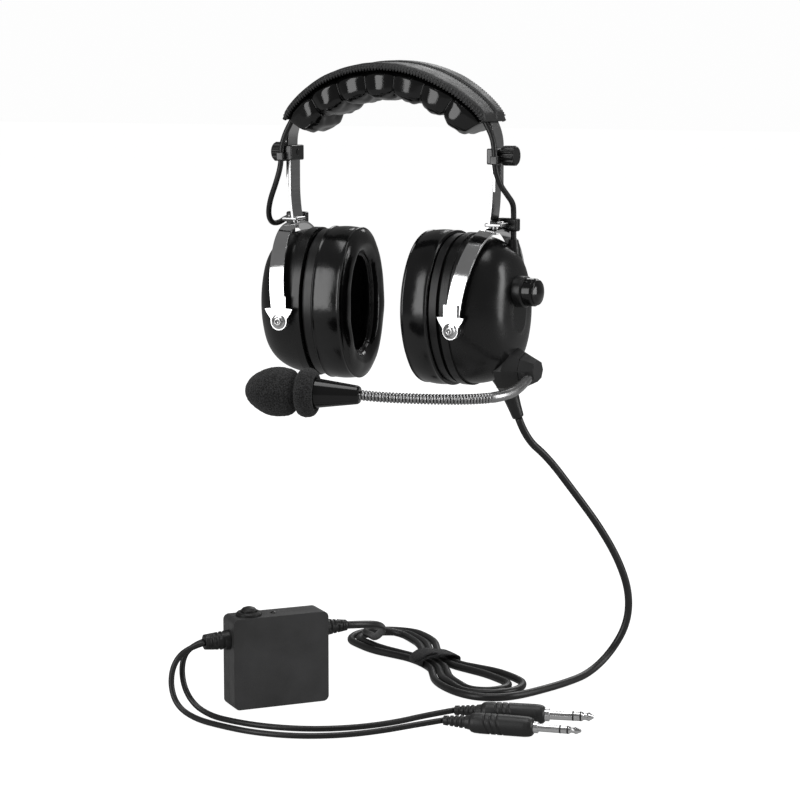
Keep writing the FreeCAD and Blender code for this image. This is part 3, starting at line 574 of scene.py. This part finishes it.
def arch_point(turn, offset):
    """A point across and up on the spring's arch, where its outward direction leans by turn."""
    side, lean = math.copysign(1, turn), abs(turn)
    if lean <= JOINT:
        reach = CROWN_RADIUS + offset
        return side * reach * math.sin(lean), CROWN - CROWN_RADIUS + reach * math.cos(lean)
    reach = SHOULDER + offset
    return side * (SPAN - SHOULDER + reach * math.sin(lean)), LEG_TOP + reach * math.cos(lean)


def arch_turns(end, offset, steps):
    """Turns from one end of the arch to the other, evenly spaced along it."""
    fine = np.radians(np.linspace(-end, end, 800))
    line = np.array([arch_point(t, offset) for t in fine])
    reach = np.concatenate([[0], np.cumsum(np.linalg.norm(np.diff(line, axis=0), axis=1))])
    return np.interp(np.linspace(0, reach[-1], steps), reach, fine), reach[-1]


def half_width(x):
    """Half the width of pad and cover in plan."""
    return float(np.interp(abs(x), (0, 46, 88.5), (24, 24, 15.5)))


def band_point(turn, aside, offset):
    x, z = arch_point(turn, offset)
    return Vector((x, aside, z)) * MM


PAD_SECTIONS = 7


def headband_pad():
    """Puffed vinyl sections under the cover, drawn in by sewn creases."""
    steps, around = 336, 64
    turns, _ = arch_turns(60.5, -12, steps)
    rings = []
    for i, turn in enumerate(turns):
        share = i / (steps - 1)
        phase = share * PAD_SECTIONS
        number = math.floor(min(phase, PAD_SECTIONS - 0.001))
        within = phase - number
        tight = abs(math.sin(math.pi * phase))
        puff = tight**0.5
        full = 1 + 0.06 * math.sin(number * 2.3 + 1)
        x, _ = arch_point(turn, -12)
        wide = half_width(x)
        ring = []
        for j in range(around):
            t = j * 2 * math.pi / around
            c, s = math.cos(t), math.sin(t)
            lower = max(0.0, -s)
            aside = wide * (0.84 + 0.17 * puff * full) * math.copysign(abs(c) ** (0.42 if s > 0 else 0.55), c)
            depth = 10.8 * (0.52 + 0.48 * puff * full) if s < 0 else 10.3
            offset = -11.3 + depth * math.copysign(abs(s) ** (0.35 if s > 0 else 0.62), s)
            # Soft folds fan out from each crease and die away over the middle of the section.
            fan = math.exp(-((0.5 - abs(within - 0.5)) / 0.2))
            fold = 1.1 * math.sin(aside * 0.42 + number * 1.7 + 3.5 * (within - 0.5)) * fan * (0.35 + lower)
            where = Vector((share * 26, aside * 0.07, offset * 0.1 + number))
            sag = noise.noise(where) * 1.1 * (0.3 + 0.7 * lower)
            push = fold + sag
            ring.append(band_point(turn, aside + c * push * 0.7, min(offset + s * push, -1.0)))
        rings.append(ring)
    pad = loft("pad_sections", rings)
    subdivided(pad)
    dress(pad, "pad_vinyl")
    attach(pad, "headband")
    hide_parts("headband_pad")


def cover_profile(wide):
    """The cover's cross-section: rounded edges, a raised strip towards the rear."""
    rear_strip = wide * 0.08, wide * 0.72
    outline = [(-wide, 1.4), (-wide - 0.5, 2.4), (-wide + 0.3, 3.6), (-wide + 1.8, 4.1)]
    outline += [(a, 4.2 + 0.35 * math.cos(a / wide * 1.5))
                for a in np.linspace(-wide + 3.4, rear_strip[0] - 0.7, 9)]
    outline += [(rear_strip[0] - 0.1, 4.5), (rear_strip[0] + 0.3, 5.3), (rear_strip[0] + 1.2, 5.7)]
    outline += [(a, 5.8) for a in np.linspace(rear_strip[0] + 3, rear_strip[1] - 3, 5)]
    outline += [(rear_strip[1] - 1.2, 5.7), (rear_strip[1] - 0.3, 5.2), (rear_strip[1] + 0.1, 4.4)]
    outline += [(rear_strip[1] + 1.4, 4.2), (wide - 1.8, 4.1), (wide - 0.3, 3.6),
                (wide + 0.5, 2.4), (wide, 1.4)]
    outline += [(a, 1.1) for a in np.linspace(wide - 1.5, -wide + 1.5, 8)]
    return outline


def headband_cover():
    steps = 180
    turns, _ = arch_turns(62, 3, steps)
    rings = []
    for i, turn in enumerate(turns):
        x, _ = arch_point(turn, 3)
        wide = half_width(x)
        end = min(i, steps - 1 - i)
        flat = min(1.0, 0.35 + 0.65 * end / 5)
        ring = []
        for aside, offset in cover_profile(wide):
            ripple = 0.25 * noise.noise(Vector((i * 0.09, aside * 0.12, 0)))
            ring.append(band_point(turn, aside, 1.1 + (offset - 1.1) * flat + ripple * (offset > 2)))
        rings.append(ring)
    cover = loft("cover", rings)
    dress(cover, "cover_leather")
    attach(cover, "headband")
    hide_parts("headband_cover")


def edge_line(side, inset, offset, end=61.5, steps=150):
    """A line along the cover, beside its front or rear edge."""
    turns, _ = arch_turns(end, 3, steps)
    return [band_point(t, side * (half_width(arch_point(t, 3)[0]) - inset), offset) for t in turns]


def small_ring(centre, across, up, reach, thick, start=0.0, end=2 * math.pi, steps=9):
    """Part of a ring of thread round a line."""
    path = [np.array(centre + (across * math.cos(t) + up * math.sin(t)) * reach)
            for t in np.linspace(start, end, steps)]
    return tube("stitch", path, thick, sides=5)


def cover_stitching():
    """A bead whipped with thread along both edges, and stitch rows on the raised strip."""
    for side, name in ((-1, "front"), (1, "rear")):
        line = np.array([tuple(p) for p in edge_line(side, 0.3, 1.0)])
        bead = tube(f"{name}_edge_bead", line, 1.5 * MM, sides=12)
        dress(bead, "cover_leather")
        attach(bead, "headband")
        dense = np.array([tuple(p) for p in edge_line(side, 0.3, 1.0, steps=152)])
        tangents, across, up = frames_along(dense)
        stitches = []
        for i in range(2, len(dense) - 2, 2):
            slant = tangents[i] * 0.7
            a = Vector(across[i] + slant).normalized()
            stitches.append(small_ring(Vector(dense[i]), a, Vector(up[i]), 1.75 * MM, 0.62 * MM))
        whip = join(f"{name}_edge_stitches", stitches)
        dress(whip, "thread")
        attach(whip, "headband")
    rows = []
    for share in (0.03, 0.77):
        turns, _ = arch_turns(60, 5, 190)
        for i in range(1, len(turns) - 2, 2):
            pair = []
            for t in (turns[i], turns[i] + (turns[i + 1] - turns[i]) * 0.9):
                wide = half_width(arch_point(t, 3)[0])
                pair.append(np.array(band_point(t, wide * share, 4.85)))
            middle = (pair[0] + pair[1]) / 2
            lift = middle + (middle - np.array((0, middle[1], -0.083))) * 0.002
            rows.append(tube("stitch", [pair[0], lift, pair[1]], 0.35 * MM, sides=6))
    seam = join("cover_seam_stitches", rows)
    dress(seam, "thread")
    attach(seam, "headband")


headband_pad()
headband_cover()
cover_stitching()


# ---------------------------------------------------------------- ear seals

CUP_HEIGHT = -146


def oval(half_wide, half_tall, count):
    """Points round an oval of four tangent arcs, evenly spaced by angle on each arc."""
    end = 0.86 * half_wide
    side = (half_wide**2 + (half_tall - end) ** 2 - end**2) / (2 * (half_wide - end))
    end_z, side_y = half_tall - end, side - half_wide
    joint = math.atan2(side_y, end_z)
    points = []
    quarter = count // 4
    for number in range(4):
        for k in range(quarter):
            t = (k / quarter) * 2 - 1
            if number % 2 == 0:
                sign = 1 if number == 0 else -1
                lean = t * (math.pi / 2 - joint)
                points.append((sign * (-side_y + side * math.cos(lean)), sign * side * math.sin(lean)))
            else:
                sign = 1 if number == 1 else -1
                lean = t * joint
                points.append((sign * -end * math.sin(lean), sign * (end_z + end * math.cos(lean))))
    return np.array(points)


# Cross-section of a seal: distance in from its outer edge, and place outwards from the hub.
SEAL_PROFILE = [(0.9, -30.3), (-0.1, -30.8), (-0.3, -31.6), (0.3, -32.4), (0.1, -35), (-0.3, -40), (0, -45.5),
                (0.6, -49.6), (0.9, -51.0), (0.2, -51.7), (0.5, -52.5), (1.6, -52.6), (3.2, -54), (6, -55.4),
                (9.5, -56.1), (13, -56), (16, -55), (18.3, -53), (19.2, -51.6), (19.1, -50.6), (19.9, -50.1),
                (20.8, -50.6), (21.1, -48.5), (21.7, -44), (21.9, -38), (22, -31), (21, -30.3)]


def ear_seal(side):
    """A glossy vinyl seal with a seam at its outer corner and another round its opening."""
    place = side_place(side)
    count = 132
    outer, inner = oval(42, 55, count), oval(20, 33, count)
    around = np.arange(count) / count
    rings = []
    for depth, x in SEAL_PROFILE:
        ring = []
        share = depth / 22
        for k in range(count):
            t = around[k] * 2 * math.pi
            middle = math.sin(math.pi * min(max(share, 0), 1))
            wave = noise.noise(Vector((math.cos(t) * 3.1, math.sin(t) * 3.1, x * 0.1 + share * 3)))
            sag = 0.55 * wave * middle
            pucker = 0.22 * math.sin(t * 34 + 3 * wave) * math.exp(-((share - 0.9) / 0.08) ** 2)
            y, z = outer[k] * (1 - share) + inner[k] * share
            local = Vector((x - sag - pucker, y * (1 + 0.004 * wave), CUP_HEIGHT + z)) * MM
            ring.append(place @ local)
        rings.append(ring)
    seal = loft(f"{side}_seal", rings, along=True)
    subdivided(seal)
    dress(seal, "seal_vinyl")
    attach(seal, f"{side}_cup")
    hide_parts(f"{side}_ear_seal")


def ear_liner(side):
    """Dark foam at the bottom of the ear opening, slightly crowned."""
    place = side_place(side)
    edge = oval(20.6, 33.6, 96)
    rings = []
    for share, x in ((1, -30.4), (1, -32.6), (0.97, -33.4), (0.85, -33.9),
                     (0.6, -34.2), (0.3, -34.4), (0.01, -34.5)):
        rings.append([place @ (Vector((x - 0.3 * noise.noise(Vector((y * 0.3, z * 0.3, 2))),
                                       y * share, CUP_HEIGHT + z * share)) * MM) for y, z in edge])
    liner = loft(f"{side}_foam_liner", rings)
    dress(liner, "foam")
    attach(liner, f"{side}_cup")
    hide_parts(f"{side}_ear_liner")


for hand in ("left", "right"):
    ear_seal(hand)
    ear_liner(hand)


# ---------------------------------------------------------------- boom and microphone

BOOM = [(109, -7, -191.5), (109, -22, -198), (104, -42, -201), (92, -62, -201), (74, -79, -200),
        (53, -91, -199), (36, -98.5, -198), (26.8, -101.3, -197.1)]
MIC_AXIS = Vector((-0.969, -0.245, 0.013))
GOOSENECK_RADIUS = 3.7


def gooseneck():
    """A smooth sleeve near the cup, then a wound spiral on a dark core to the microphone; the spiral's bright metal is
    partly painted highlight on the ribs, and the dark core is painted shade in the grooves between the coils.
    """
    line = flexible_line("boom_line", [Vector(p) * MM for p in BOOM], 40)
    reach = np.concatenate([[0], np.cumsum(np.linalg.norm(np.diff(line, axis=0), axis=1))])
    total = reach[-1]

    def read(places):
        return np.stack([np.interp(places, reach, line[:, k]) for k in range(3)], axis=1)

    sleeve_end, taper = 46 * MM, 5 * MM
    core_radius, wire_radius, pitch = 2.75 * MM, 0.98 * MM, 2.3 * MM

    def sleeve_radius(s, t):
        shrink = min(max((s - sleeve_end + taper) / taper, 0), 1)
        return (GOOSENECK_RADIUS + 0.05 - 0.5 * shrink**2) * MM

    sleeve = tube("gooseneck_sleeve", read(np.linspace(0, sleeve_end, 70)), sleeve_radius, sides=28)
    # The black core shows between the coils as painted shade in the grooves.
    core = tube("gooseneck_core_painted_groove_shade", read(np.linspace(sleeve_end - 2 * MM, total, 90)), core_radius)
    steps = int((total - sleeve_end) / pitch * 18)
    places = np.linspace(sleeve_end - 0.6 * MM, total, steps)
    middle = read(places)
    _, across, up = frames_along(middle)
    turns = (2 * math.pi * places / pitch)[:, None]
    wound = middle + (across * np.cos(turns) + up * np.sin(turns)) * core_radius
    spiral = tube("gooseneck_spiral", wound, wire_radius, sides=8)
    for piece, finish in ((sleeve, "sleeve_metal"), (core, "rubber"), (spiral, "spiral_metal_painted_highlight")):
        dress(piece, finish)
        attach(piece, "boom")
    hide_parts("boom_gooseneck")


def windscreen():
    """A foam ball with a rolled ring at its mouth, its skin pitted by the foam's cells."""
    base = Vector(BOOM[-1]) * MM
    place = pointing(base, MIC_AXIS)
    profile = [(34, 10.6), (31.4, 11.1), (30.4, 12.2), (30.6, 14), (32, 15.8), (34.4, 16.8), (37, 17),
               (39.6, 16.5),
               (41.8, 15.2), (43.2, 13.2), (43.9, 11.4), (44.6, 11.8), (45.6, 13.6), (47.4, 15.1), (50, 16.1),
               (53, 16.7), (57, 16.9), (61, 16.6), (65, 15.8), (69, 14.3), (72.6, 12.2), (75.8, 9.6),
               (78.3, 6.8),
               (80, 3.8), (80.7, 1.2), (80.8, 0.05)]
    heights = np.array([p[0] for p in profile], float)
    radii = np.array([p[1] for p in profile], float)
    count = np.concatenate([[0], np.cumsum(np.hypot(np.diff(heights), np.diff(radii)))])
    fine = np.linspace(0, count[-1], 150)
    smooth = list(zip(np.interp(fine, count, heights) * MM, np.interp(fine, count, radii) * MM))

    def pitted(height, t, radius):
        where = Vector((math.cos(t) * radius, math.sin(t) * radius, height)) * 900
        rough = noise.noise(where) * 0.3 + noise.noise(where * 0.12) * 0.5
        return radius + rough * MM * min(1, radius / (4 * MM))

    foam = lathe("windscreen", smooth, place, sides=180, shape=pitted)
    dress(foam, "foam")
    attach(foam, "boom")
    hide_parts("mic_windscreen")


gooseneck()
windscreen()


# ---------------------------------------------------------------- strain reliefs, tie and plugs

def strain_relief():
    """The tapered boot that the main cord leaves the left cup through."""
    way = RELIEF_TIP - RELIEF_BASE
    length = way.length / MM
    profile = [(0, 8.8), (1.6, 9.3), (3.4, 9.1), (5.6, 8.4), (9, 7.5), (14, 6.5), (20, 5.6), (27, 4.8),
               (length - 1.6, 4.3), (length - 0.4, 4), (length, 3.1)]
    boot = lathe("cord_boot", sizes(profile), pointing(RELIEF_BASE, way))
    dress(boot, "rubber")
    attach(boot, "left_cup")
    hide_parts("strain_relief")
    return boot


def ribbed(height, t, radius):
    """Short slots round a strain relief, staggered from ring to ring."""
    ring = int(height / (3 * MM))
    inside = abs(height / (3 * MM) - ring - 0.5) < 0.28
    slot = math.cos(2 * t + ring * math.pi / 2) > -0.55
    return radius - 0.7 * MM if inside and slot and 3 * MM < height < 16 * MM else radius


def box_frame():
    corner = on_floor((-109, -104, 0))
    return Matrix.Translation(corner) @ Matrix.Rotation(LAYOUT_TURN + math.radians(23.7), 4, "Z")


BOX = box_frame()


def box_gland(name, origin, way, thick, thin):
    start = BOX @ (Vector(origin) * MM)
    direction = BOX.to_3x3() @ Vector(way)
    heights = np.linspace(0, 18, 73)
    profile = [(h * MM, (thick + (thin - thick) * h / 18) * MM) for h in heights]
    profile[0] = (0, (thick - 0.3) * MM)
    profile[-1] = (18 * MM, (thin - 0.6) * MM)
    gland = lathe(name, profile, pointing(start, direction), sides=48, shape=ribbed)
    dress(gland, "rubber")
    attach(gland, "left_yoke")
    return gland


def cord_tie():
    """A woven hook-and-loop band round the hank's waist, with its loose tab."""
    points = []
    half_wide, tall = 15.4, 8.2
    for t in np.linspace(0, 2 * math.pi, 44, endpoint=False):
        c, s = math.cos(t), math.sin(t)
        points.append((half_wide * math.copysign(abs(c) ** 0.8, c),
                       0.9 + (1 + math.copysign(abs(s) ** 0.75, s)) * tall * 0.5))
    points = np.array(points)
    middle = HANK_LENGTH / 2
    rings = []
    for along, grow in ((-9.5, 0), (-9.5, 1.0), (-9, 1.5), (-4, 1.7),
                        (4, 1.7), (9, 1.5), (9.5, 1.0), (9.5, 0)):
        ring = []
        for aside, above in points:
            centre = np.array((0, 5.0))
            way = np.array((aside, above)) - centre
            way /= np.linalg.norm(way)
            a, h = np.array((aside, above)) + way * grow
            ring.append(on_floor(in_hank(middle + along, a, max(h, 0.2))))
        rings.append(ring)
    band = loft("tie_band", rings, along=True)
    tab = []
    for s in np.linspace(0, 1, 14):
        aside = 2 + 16.5 * s
        above = 10.6 + 1.4 * math.sin(s * 2.6) - 6.0 * s * s
        wide = 8.5 if s < 0.75 else 8.5 * math.sqrt(max(0.02, 1 - ((s - 0.75) / 0.25) ** 2))
        thick = 0.9
        circle = [(math.cos(t), math.sin(t)) for t in np.linspace(0, 2 * math.pi, 16, endpoint=False)]
        tab.append([on_floor(in_hank(middle + wide * math.copysign(abs(c) ** 0.3, c), aside,
                                     above + thick * d + 0.6))
                    for c, d in circle])
    flap = loft("tie_tab", tab)
    for piece in (band, flap):
        dress(piece, "tie_fabric")
        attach(piece, "left_yoke")
    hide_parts("cord_tie")
    return [band, flap]


def plug(letter, tail, barrel, reach):
    """A plug's grip with its strain relief rings and slanted finger grooves, and its contacts' rings."""
    start, end = on_floor(tail), on_floor(PLUG_TIPS[letter])
    place = pointing(start, end - start)
    outline = [(0, 2.2), (0.4, 3.2), (4, 3.5), (16, 4.6), (18.5, 5.0), (20, 6.3), (22, 6.8), (26, 7.0),
               (44, 7.0), (56, 6.9), (59, 6.6), (61, 5.9), (62, 4.8), (62, 2)]
    heights = np.unique(np.concatenate([np.linspace(0, 62, 150), [h for h, _ in outline]]))
    radii = np.interp(heights, [h for h, _ in outline[:-1]], [r for _, r in outline[:-1]])
    profile = list(zip(heights * MM, radii * MM)) + [(62 * MM, 2 * MM)]

    def grooved(height, t, radius):
        h = height / MM
        if 3.5 < h < 17 and (h - 3.5) % 3.4 < 1.3:
            return radius - 0.75 * MM
        slanted = h - 30 + 2.4 * math.sin(t)
        if 0 < slanted < 11 and slanted % 4.2 < 1.3:
            return radius - 0.6 * MM
        return radius

    grip = lathe(f"plug_{letter}_body", profile, place, sides=64, shape=grooved)
    dress(grip, "grip_plastic")
    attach(grip, "left_yoke")
    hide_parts(f"plug_{letter}_grip")
    rings = []
    for h in (62 + reach - 9.4, 62 + reach - 14.5):
        band = [(h, barrel - 0.2), (h, barrel + 0.07), (h + 1.1, barrel + 0.07), (h + 1.1, barrel - 0.2)]
        rings.append(lathe("insulator", sizes(band), place, sides=40))
    insulators = join(f"plug_{letter}_insulators", rings)
    dress(insulators, "gloss_plastic")
    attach(insulators, "left_yoke")
    return grip


BOOT = strain_relief()
TIE = cord_tie()
GLAND_RIGHT = box_gland("box_gland_right", (70, 11, 50), (1, 0, 0), 6.2, 3.8)
GLAND_LEFT = box_gland("box_gland_left", (0, 11, 48), (-1, 0, 0), 7, 5.2)
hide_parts("box_glands")
PLUG_GRIPS = {"a": plug("a", LEAD_A[-1], 3.175, 33), "b": plug("b", LEAD_B[-1], 2.615, 32)}


# ---------------------------------------------------------------- carried-over CAD nodes

CAD_FINISHES = {
    "chrome": ["yoke", "pivot_brackets"],
    "spring_steel": ["arm"],
    "pin_steel": ["pivot_pins"],
    "dark_metal": ["clamp_bracket"],
    "black_plastic": ["clamp_knob", "cable_grommet", "baffle", "cable_gland", "driver"],
    "shell_plastic": ["shell"],
}
SINGLE_FINISHES = {
    "headband_spring": "spring_steel", "crossover_cable": "cord_rubber", "volume_base": "black_plastic",
    "volume_knob": "gloss_plastic", "boom_mount": "mount_plastic", "boom_socket": "mount_plastic",
    "mic_housing": "gloss_plastic", "mic_capsule": "dark_metal", "box_front": "box_plastic",
    "box_rear": "box_plastic", "box_board": "board", "button_collar": "rubber", "box_button": "rubber",
    "plug_a_contacts": "plug_metal", "plug_b_contacts": "plug_metal",
}

for finish_name, kinds in CAD_FINISHES.items():
    for kind in kinds:
        for hand in ("left", "right"):
            dress(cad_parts[f"{hand}_{kind}"], finish_name)
for node_name, finish_name in SINGLE_FINISHES.items():
    dress(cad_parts[node_name], finish_name)


# ---------------------------------------------------------------- small details

def screw(name, place, radius, body, height=1.2):
    """A pan head with a cross recess."""
    profile = [(0, radius), (height * 0.5, radius), (height * 0.85, radius * 0.86), (height, radius * 0.6)]
    profile += [(height, radius * 0.52), (height - 0.7, radius * 0.36), (height - 0.75, 0.02)]

    def crossed(h, t, r):
        if h > (height - 0.05) * MM and r < radius * 0.55 * MM:
            return r * (0.55 + 0.45 * abs(math.cos(2 * t)))
        return r

    head = lathe(name, sizes(profile), place, sides=40, shape=crossed)
    dress(head, "pin_steel")
    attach(head, body)
    return head


def pivot_screws(side):
    place = side_place(side)
    for facing, end in ((-1, "a"), (1, "b")):
        spot = place @ (Vector((-8, facing * 48.3, -157)) * MM)
        way = place.to_3x3() @ Vector((0, facing, 0))
        washer = lathe(f"{side}_pivot_washer_{end}", sizes([(-0.9, 2.6), (-0.9, 5.2), (-0.3, 5.4), (0, 5.0), (0, 2.6)]),
                       pointing(spot, way))
        dress(washer, "chrome")
        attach(washer, f"{side}_cup")
        screw(f"{side}_pivot_screw_{end}", pointing(spot, way), 3.6, f"{side}_cup", 1.4)


def volume_cap():
    """A domed glossy cap on the volume knob, inside a knurled rim."""
    place = (side_place("left") @ Matrix.Translation(sizes((26.5, 0, -132)))
             @ Matrix.Rotation(math.pi / 2, 4, "Y"))
    profile = [(7.6, 8.9), (8.4, 8.8), (8.7, 8.2), (8.8, 7.4), (9.4, 6.4), (10.0, 4.6), (10.4, 2.6), (10.5, 0.02)]
    cap = lathe("volume_cap", sizes(profile), place, sides=64)
    dress(cap, "gloss_plastic")
    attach(cap, "volume_knob")


def box_light():
    """A small indicator light beside the button."""
    spot = BOX @ (Vector((33, 11, 64)) * MM)
    dome = lathe("box_light", sizes([(0, 2.1), (0.3, 2.1), (0.5, 1.7), (0.9, 1.2), (1.1, 0.6), (1.15, 0.02)]),
                 pointing(spot, (0, 0, 1)), sides=32)
    dress(dome, "gloss_plastic")
    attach(dome, "left_yoke")
    return dome


def foot_screw(side):
    """The pan head that holds the arm's foot."""
    spot = Vector((side_sign(side) * (HUB + 4.2), 0, -84.9)) * MM
    screw(f"{side}_foot_screw", pointing(spot, (0, 0, 1)), 2.7, f"{side}_arm")


for hand in ("left", "right"):
    pivot_screws(hand)
    foot_screw(hand)
volume_cap()
BOX_LIGHT = box_light()


# ---------------------------------------------------------------- studio

def add_floor():
    """Pale paper that shows near white, and lights the object from below only a little."""
    size = 14
    floor = add_mesh("floor", [(-size, -size, FLOOR - 0.0003), (size, -size, FLOOR - 0.0003),
                               (size, size, FLOOR - 0.0003), (-size, size, FLOOR - 0.0003)], [(0, 1, 2, 3)])
    paper = Finish("studio_paper", (0.3,) * 3, 0.95, specular=0.0)
    paper.colors(paper.noise(3, 2), (0.29,) * 3, (0.31,) * 3)
    paper.shader.inputs["Emission Color"].default_value = (1, 1, 1, 1)
    seen = paper.node("ShaderNodeLightPath").outputs["Is Camera Ray"]
    paper.link(paper.ranged(seen, 0.12, 0.955, 0, 1), paper.shader.inputs["Emission Strength"])
    floor.data.materials.append(paper.material)


def add_world():
    """White behind the object, and a dim surround for its reflections."""
    world = bpy.data.worlds.new("studio")
    world.use_nodes = True
    nodes, links = world.node_tree.nodes, world.node_tree.links
    surround = nodes["Background"]
    surround.inputs["Color"].default_value = (1, 1, 1, 1)
    surround.inputs["Strength"].default_value = 0.16
    behind = nodes.new("ShaderNodeBackground")
    behind.inputs["Color"].default_value = (1, 1, 1, 1)
    behind.inputs["Strength"].default_value = 0.985
    mix = nodes.new("ShaderNodeMixShader")
    links.new(nodes.new("ShaderNodeLightPath").outputs["Is Camera Ray"], mix.inputs["Fac"])
    links.new(surround.outputs["Background"], mix.inputs[1])
    links.new(behind.outputs["Background"], mix.inputs[2])
    links.new(mix.outputs["Shader"], nodes["World Output"].inputs["Surface"])
    bpy.context.scene.world = world


def add_soft_box(name, place, target, wide, tall, power):
    data = bpy.data.lights.new(name, "AREA")
    data.shape = "RECTANGLE"
    data.size = wide
    data.size_y = tall
    data.energy = power
    light = bpy.data.objects.new(name, data)
    light.location = place
    light.rotation_euler = (Vector(target) - Vector(place)).to_track_quat("-Z", "Y").to_euler()
    bpy.context.scene.collection.objects.link(light)


def add_lights():
    middle = Vector((0, 0, -0.15))
    up = Vector((0, 0, 1))
    add_soft_box("key", RIGHT * -1.5 - AWAY * 1.3 + up * 0.42, middle + up * 0.4, 0.95, 1.66, 16.5)
    add_soft_box("fill", RIGHT * 1.8 - AWAY * 0.5 + up * 0.3, middle, 0.6, 1.5, 14)
    add_soft_box("top", up * 1.9 - AWAY * 0.2, middle, 1.3, 1.3, 16)
    add_soft_box("back", AWAY * 1.6 + RIGHT * 0.6 + up * 0.9, middle, 1.2, 0.8, 10)


add_floor()
add_world()
add_lights()
bpy.context.scene.view_settings.view_transform = "Standard"
